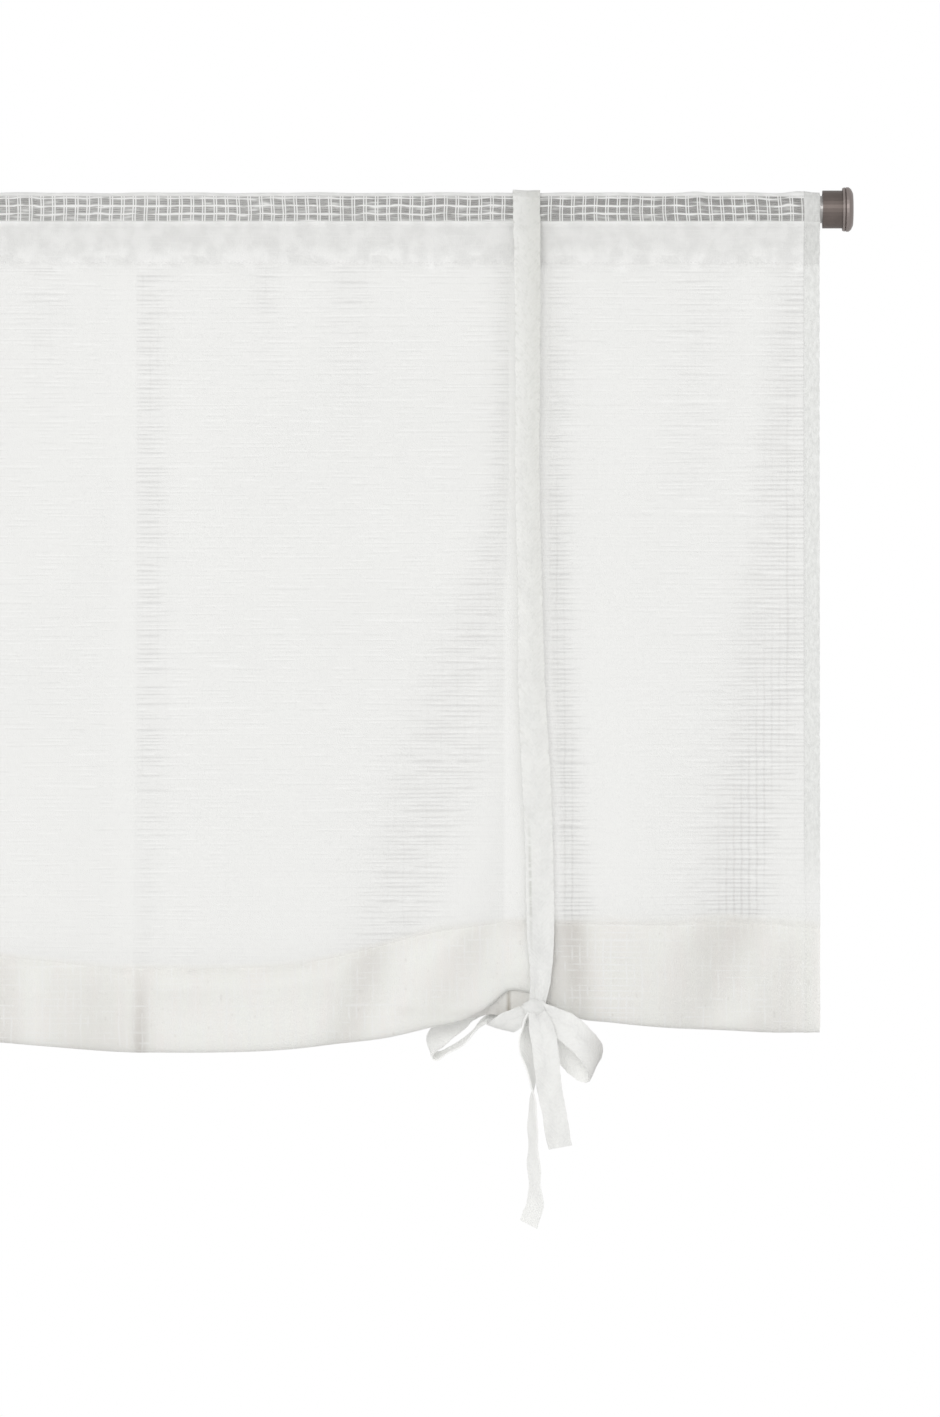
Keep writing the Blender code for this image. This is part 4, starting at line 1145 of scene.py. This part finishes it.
PLEAT_SHADOW_PATCHES = Patches((60.0, 380.0), 0.24, 4.0)
TIE_RELIEF, TIE_BUMP, TIE_BUMP_DEPTH, TIE_GLOW = 2.0, 0.18, 0.0005, 0.30

place, across, along = flat_place(tie_tree)
loop_bend_shade, in_shade = read_values(tie_tree, "loop_bend_shade", "in_shade")
from_middle = absolute(across)
yarn_rows = threads(from_middle + along, TWILL_PITCH)
yarn, cloudy = noise(place, YARN_STRETCH, NOISE_DETAIL), noise(place, CLOUDY_STRETCH, NOISE_DETAIL)
shaded = clamp(yarn * YARN_SHARE + (cloudy * CLOUDY_SHARE - SHADE_LEVEL))
darker_part = near(along, DARKER_MIDDLE, DARKER_REACH, DARKER_HEIGHT)
outer_half = clamp(across * (1.0 / OUTER_HALF_REACH) + OUTER_HALF_MIDDLE) * (1.0 - INNER_HALF_SHARE) + INNER_HALF_SHARE
near_edge = clamp(from_middle * MARK_EDGE_GAIN - MARK_EDGE_LEVEL) * (1.0 - MARK_LEAST) + MARK_LEAST
marks = patches(place, MARKS) * (yarn_rows * HALF + HALF) * near_edge
# A painted shadow: a broken dark line where the band folds low on the front leg.
pleat_shadow = near(across, PLEAT_SHADOW_X, PLEAT_SHADOW_HALF_WIDTH) * patches(place, PLEAT_SHADOW_PATCHES)
pleat_shadow = pleat_shadow * near(along, PLEAT_SHADOW_MIDDLE, PLEAT_SHADOW_REACH, PLEAT_SHADOW_HEIGHT)
tie_colour = layered(blend(shaded, TIE_COLOUR, TIE_SHADE), (
    # Darker about the top of the front leg, fading along the band, strongest on its outer half.
    (darker_part * outer_half, TIE_DARKENED),
    (marks * (darker_part * MARK_DARKER_SHARE + MARK_SHARE), TIE_MARK_AND_SHADOW),
    (pleat_shadow * PLEAT_SHADOW_SHARE, TIE_MARK_AND_SHADOW),
    # Painted shade at the far bend of the right loop.
    (loop_bend_shade * BEND_SHADE_SHARE, LOOP_BEND_SHADE),
    # Painted light on the parts of the bow that lie in shade: the left loop, the inside of the right loop and
    # the long tail.
    (in_shade * FILL_LIGHT_SHARE, PAINTED_FILL_LIGHT),
))
tie_normal = bump(yarn * TIE_RELIEF + yarn_rows, TIE_BUMP, TIE_BUMP_DEPTH)
put(tie_colour, tie_shader.inputs["Base Color"])
put(tie_normal, tie_shader.inputs["Normal"])
tie_surface = glowing(Output(tie_shader.outputs[0]), TIE_GLOW, {"Color": tie_colour, "Normal": tie_normal})
put(tie_surface, tie_tree.nodes["Material Output"].inputs["Surface"])
print("rows of yarn every", MM * TWILL_PITCH, "mm")

# %% [markdown]
# Sewing thread holds the pocket and the side hems. Each stitch is a tiny spindle on the surface.
# They could be painted, but real ones catch the light and cast a small shadow, and a stitch is
# cheap: all of them are one mesh made from the same ten points set along the seam.

# %% Stitching
STITCH_PITCH, STITCH_LENGTH, STITCH_RADIUS, STITCH_START = 0.0028, 0.0022, 0.00018, 0.15
STITCH_ENDS, STITCH_CORNERS, POINTS_IN_STITCH = (0.22, 0.78), ((1, 0), (0, 1), (-1, 0), (0, -1)), 10
HEM_SEAM_X, SEAM_FIRST_ROW, SEAM_END_TURN, BACK_SEAM_ROW = 0.4892, 5, 0.75, 2
THREAD_DARK, THREAD_LIGHT, THREAD_STRETCH = (0.72, 0.72, 0.71), (0.82, 0.82, 0.81), (4000.0,) * 3


def spindle(start, end, outward):
    """Points and faces of one stitch between two places on the cloth."""
    forward = end - start
    sideways = unit(np.cross(forward, outward))
    points = [start - outward * STITCH_RADIUS]
    for share in STITCH_ENDS:
        for turn_x, turn_y in STITCH_CORNERS:
            points.append(start + forward * share + STITCH_RADIUS * (turn_x * sideways + turn_y * outward))
    points.append(end - outward * STITCH_RADIUS)
    faces = [(0, 1 + (i + 1) % 4, 1 + i) for i in range(4)]
    faces += [(1 + i, 1 + (i + 1) % 4, 5 + (i + 1) % 4, 5 + i) for i in range(4)]
    faces += [(9, 5 + i, 5 + (i + 1) % 4) for i in range(4)]
    return points, faces


def seam(line, outward):
    """Stitches along a line of points, standing on the side that outward points to."""
    length = length_along(line)
    starts = (np.arange(int(length[-1] / STITCH_PITCH)) + STITCH_START) * STITCH_PITCH
    ends = at_lengths(starts + STITCH_LENGTH, length, line)
    facing = unit(at_lengths(starts, length, outward))
    return [spindle(*stitch) for stitch in zip(at_lengths(starts, length, line), ends, facing)]


def surface_line(x):
    """The cloth's outer line down one place along the rod, and the direction out of it."""
    points = cloth_grid(np.array([x]))[0][:, 0]
    step = np.gradient(points, axis=0)
    outward = unit(np.stack([0.0 * step[:, 0], step[:, 2], -step[:, 1]], axis=-1))
    return points + outward * (HEM_THICKNESS / 2.0), outward


stitches = []
for row, y_side in ((len(pocket_path()) - 1, -1.0), (BACK_SEAM_ROW, 1.0)):
    line = cloth_points[row] + np.array([0.0, y_side * CLOTH_THICKNESS / 2.0, 0.0])
    stitches += seam(line, np.tile(np.array([0.0, y_side, 0.0]), (len(line), 1)))
seam_rows = slice(SEAM_FIRST_ROW, int(np.argmax(cloth_turns[:, 0] >= SEAM_END_TURN)))
for x in (HEM_SEAM_X, -HEM_SEAM_X):
    line, outward = surface_line(x)
    stitches += seam(line[seam_rows], outward[seam_rows])
stitch_points = [tuple(point) for points, _ in stitches for point in points]
stitch_faces = [
    tuple(POINTS_IN_STITCH * number + corner for corner in face)
    for number, (_, faces) in enumerate(stitches) for face in faces
]
stitch_mesh = bpy.data.meshes.new("sewing_thread")
stitch_mesh.from_pydata(stitch_points, [], stitch_faces)
stitch_mesh.shade_smooth()
thread_finish, thread_tree, thread_shader = new_material("sewing_thread", roughness=0.6, sheen=0.2)
thread_noise = noise(from_node(thread_tree, "ShaderNodeTexCoord", output="Object"), THREAD_STRETCH, 1.0)
put(blend(thread_noise, THREAD_DARK, THREAD_LIGHT), thread_shader.inputs["Base Color"])
sewing = add_piece("sewing_thread", stitch_mesh, thread_finish)
print(len(stitches), "stitches")

# %% [markdown]
# The caps are turned metal with a dark pewter finish, and the rod is a plain satin tube. Their
# imported shapes are already right, so only their finish is made. Pewter is a dark metal whose tone
# is a little uneven. Each cap's outer rim is painted brighter, a painted highlight on the rim; the
# place along the rod is enough to tell the rim.

# %% Metal finishes
RIM_FROM_X, RIM_HIGHLIGHT_SHARE, RIM_PAINTED_HIGHLIGHT = 0.5164, 0.40, (0.50, 0.44, 0.42)
METAL_PATCH_DETAIL, GRAIN_STRETCH, GRAIN_DETAIL = 4.0, (60.0, 2500.0, 1.0), 2.0
SMOOTHER, ROUGHER, GRAIN_BUMP, GRAIN_DEPTH = 0.06, 0.08, 0.15, 0.0001
PEWTER = ((0.105, 0.088, 0.080), (0.200, 0.168, 0.155), 0.43, 90.0)
STEEL = ((0.36, 0.35, 0.34), (0.46, 0.45, 0.44), 0.34, 40.0)


def metal(name, dark, light, roughness, patches_to_metre):
    material, tree, shader = new_material(name, roughness, metallic=1.0)
    place = from_node(tree, "ShaderNodeTexCoord", output="Object")
    along_rod = absolute(from_node(tree, "ShaderNodeSeparateXYZ", {"Vector": place}, "X"))
    on_rim = math_node("GREATER_THAN", along_rod, RIM_FROM_X)
    uneven = noise(place, (patches_to_metre, patches_to_metre, 1.0), METAL_PATCH_DETAIL)
    grain = noise(place, GRAIN_STRETCH, GRAIN_DETAIL)
    # Painted highlight: each cap's outer rim is painted brighter.
    put(blend(on_rim * RIM_HIGHLIGHT_SHARE, blend(uneven, dark, light), RIM_PAINTED_HIGHLIGHT), shader.inputs["Base Color"])
    put(between(grain, roughness - SMOOTHER, roughness + ROUGHER), shader.inputs["Roughness"])
    put(bump(grain, GRAIN_BUMP, GRAIN_DEPTH), shader.inputs["Normal"])
    return material


pewter, satin_steel = metal("dark_pewter", *PEWTER), metal("satin_steel", *STEEL)
for node_name, finish in (("rod", satin_steel), ("rod_cap_right", pewter), ("rod_cap_left", pewter)):
    node_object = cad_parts[node_name]
    node_object.data.materials.clear()
    node_object.data.materials.append(finish)
print("rod and caps finished")
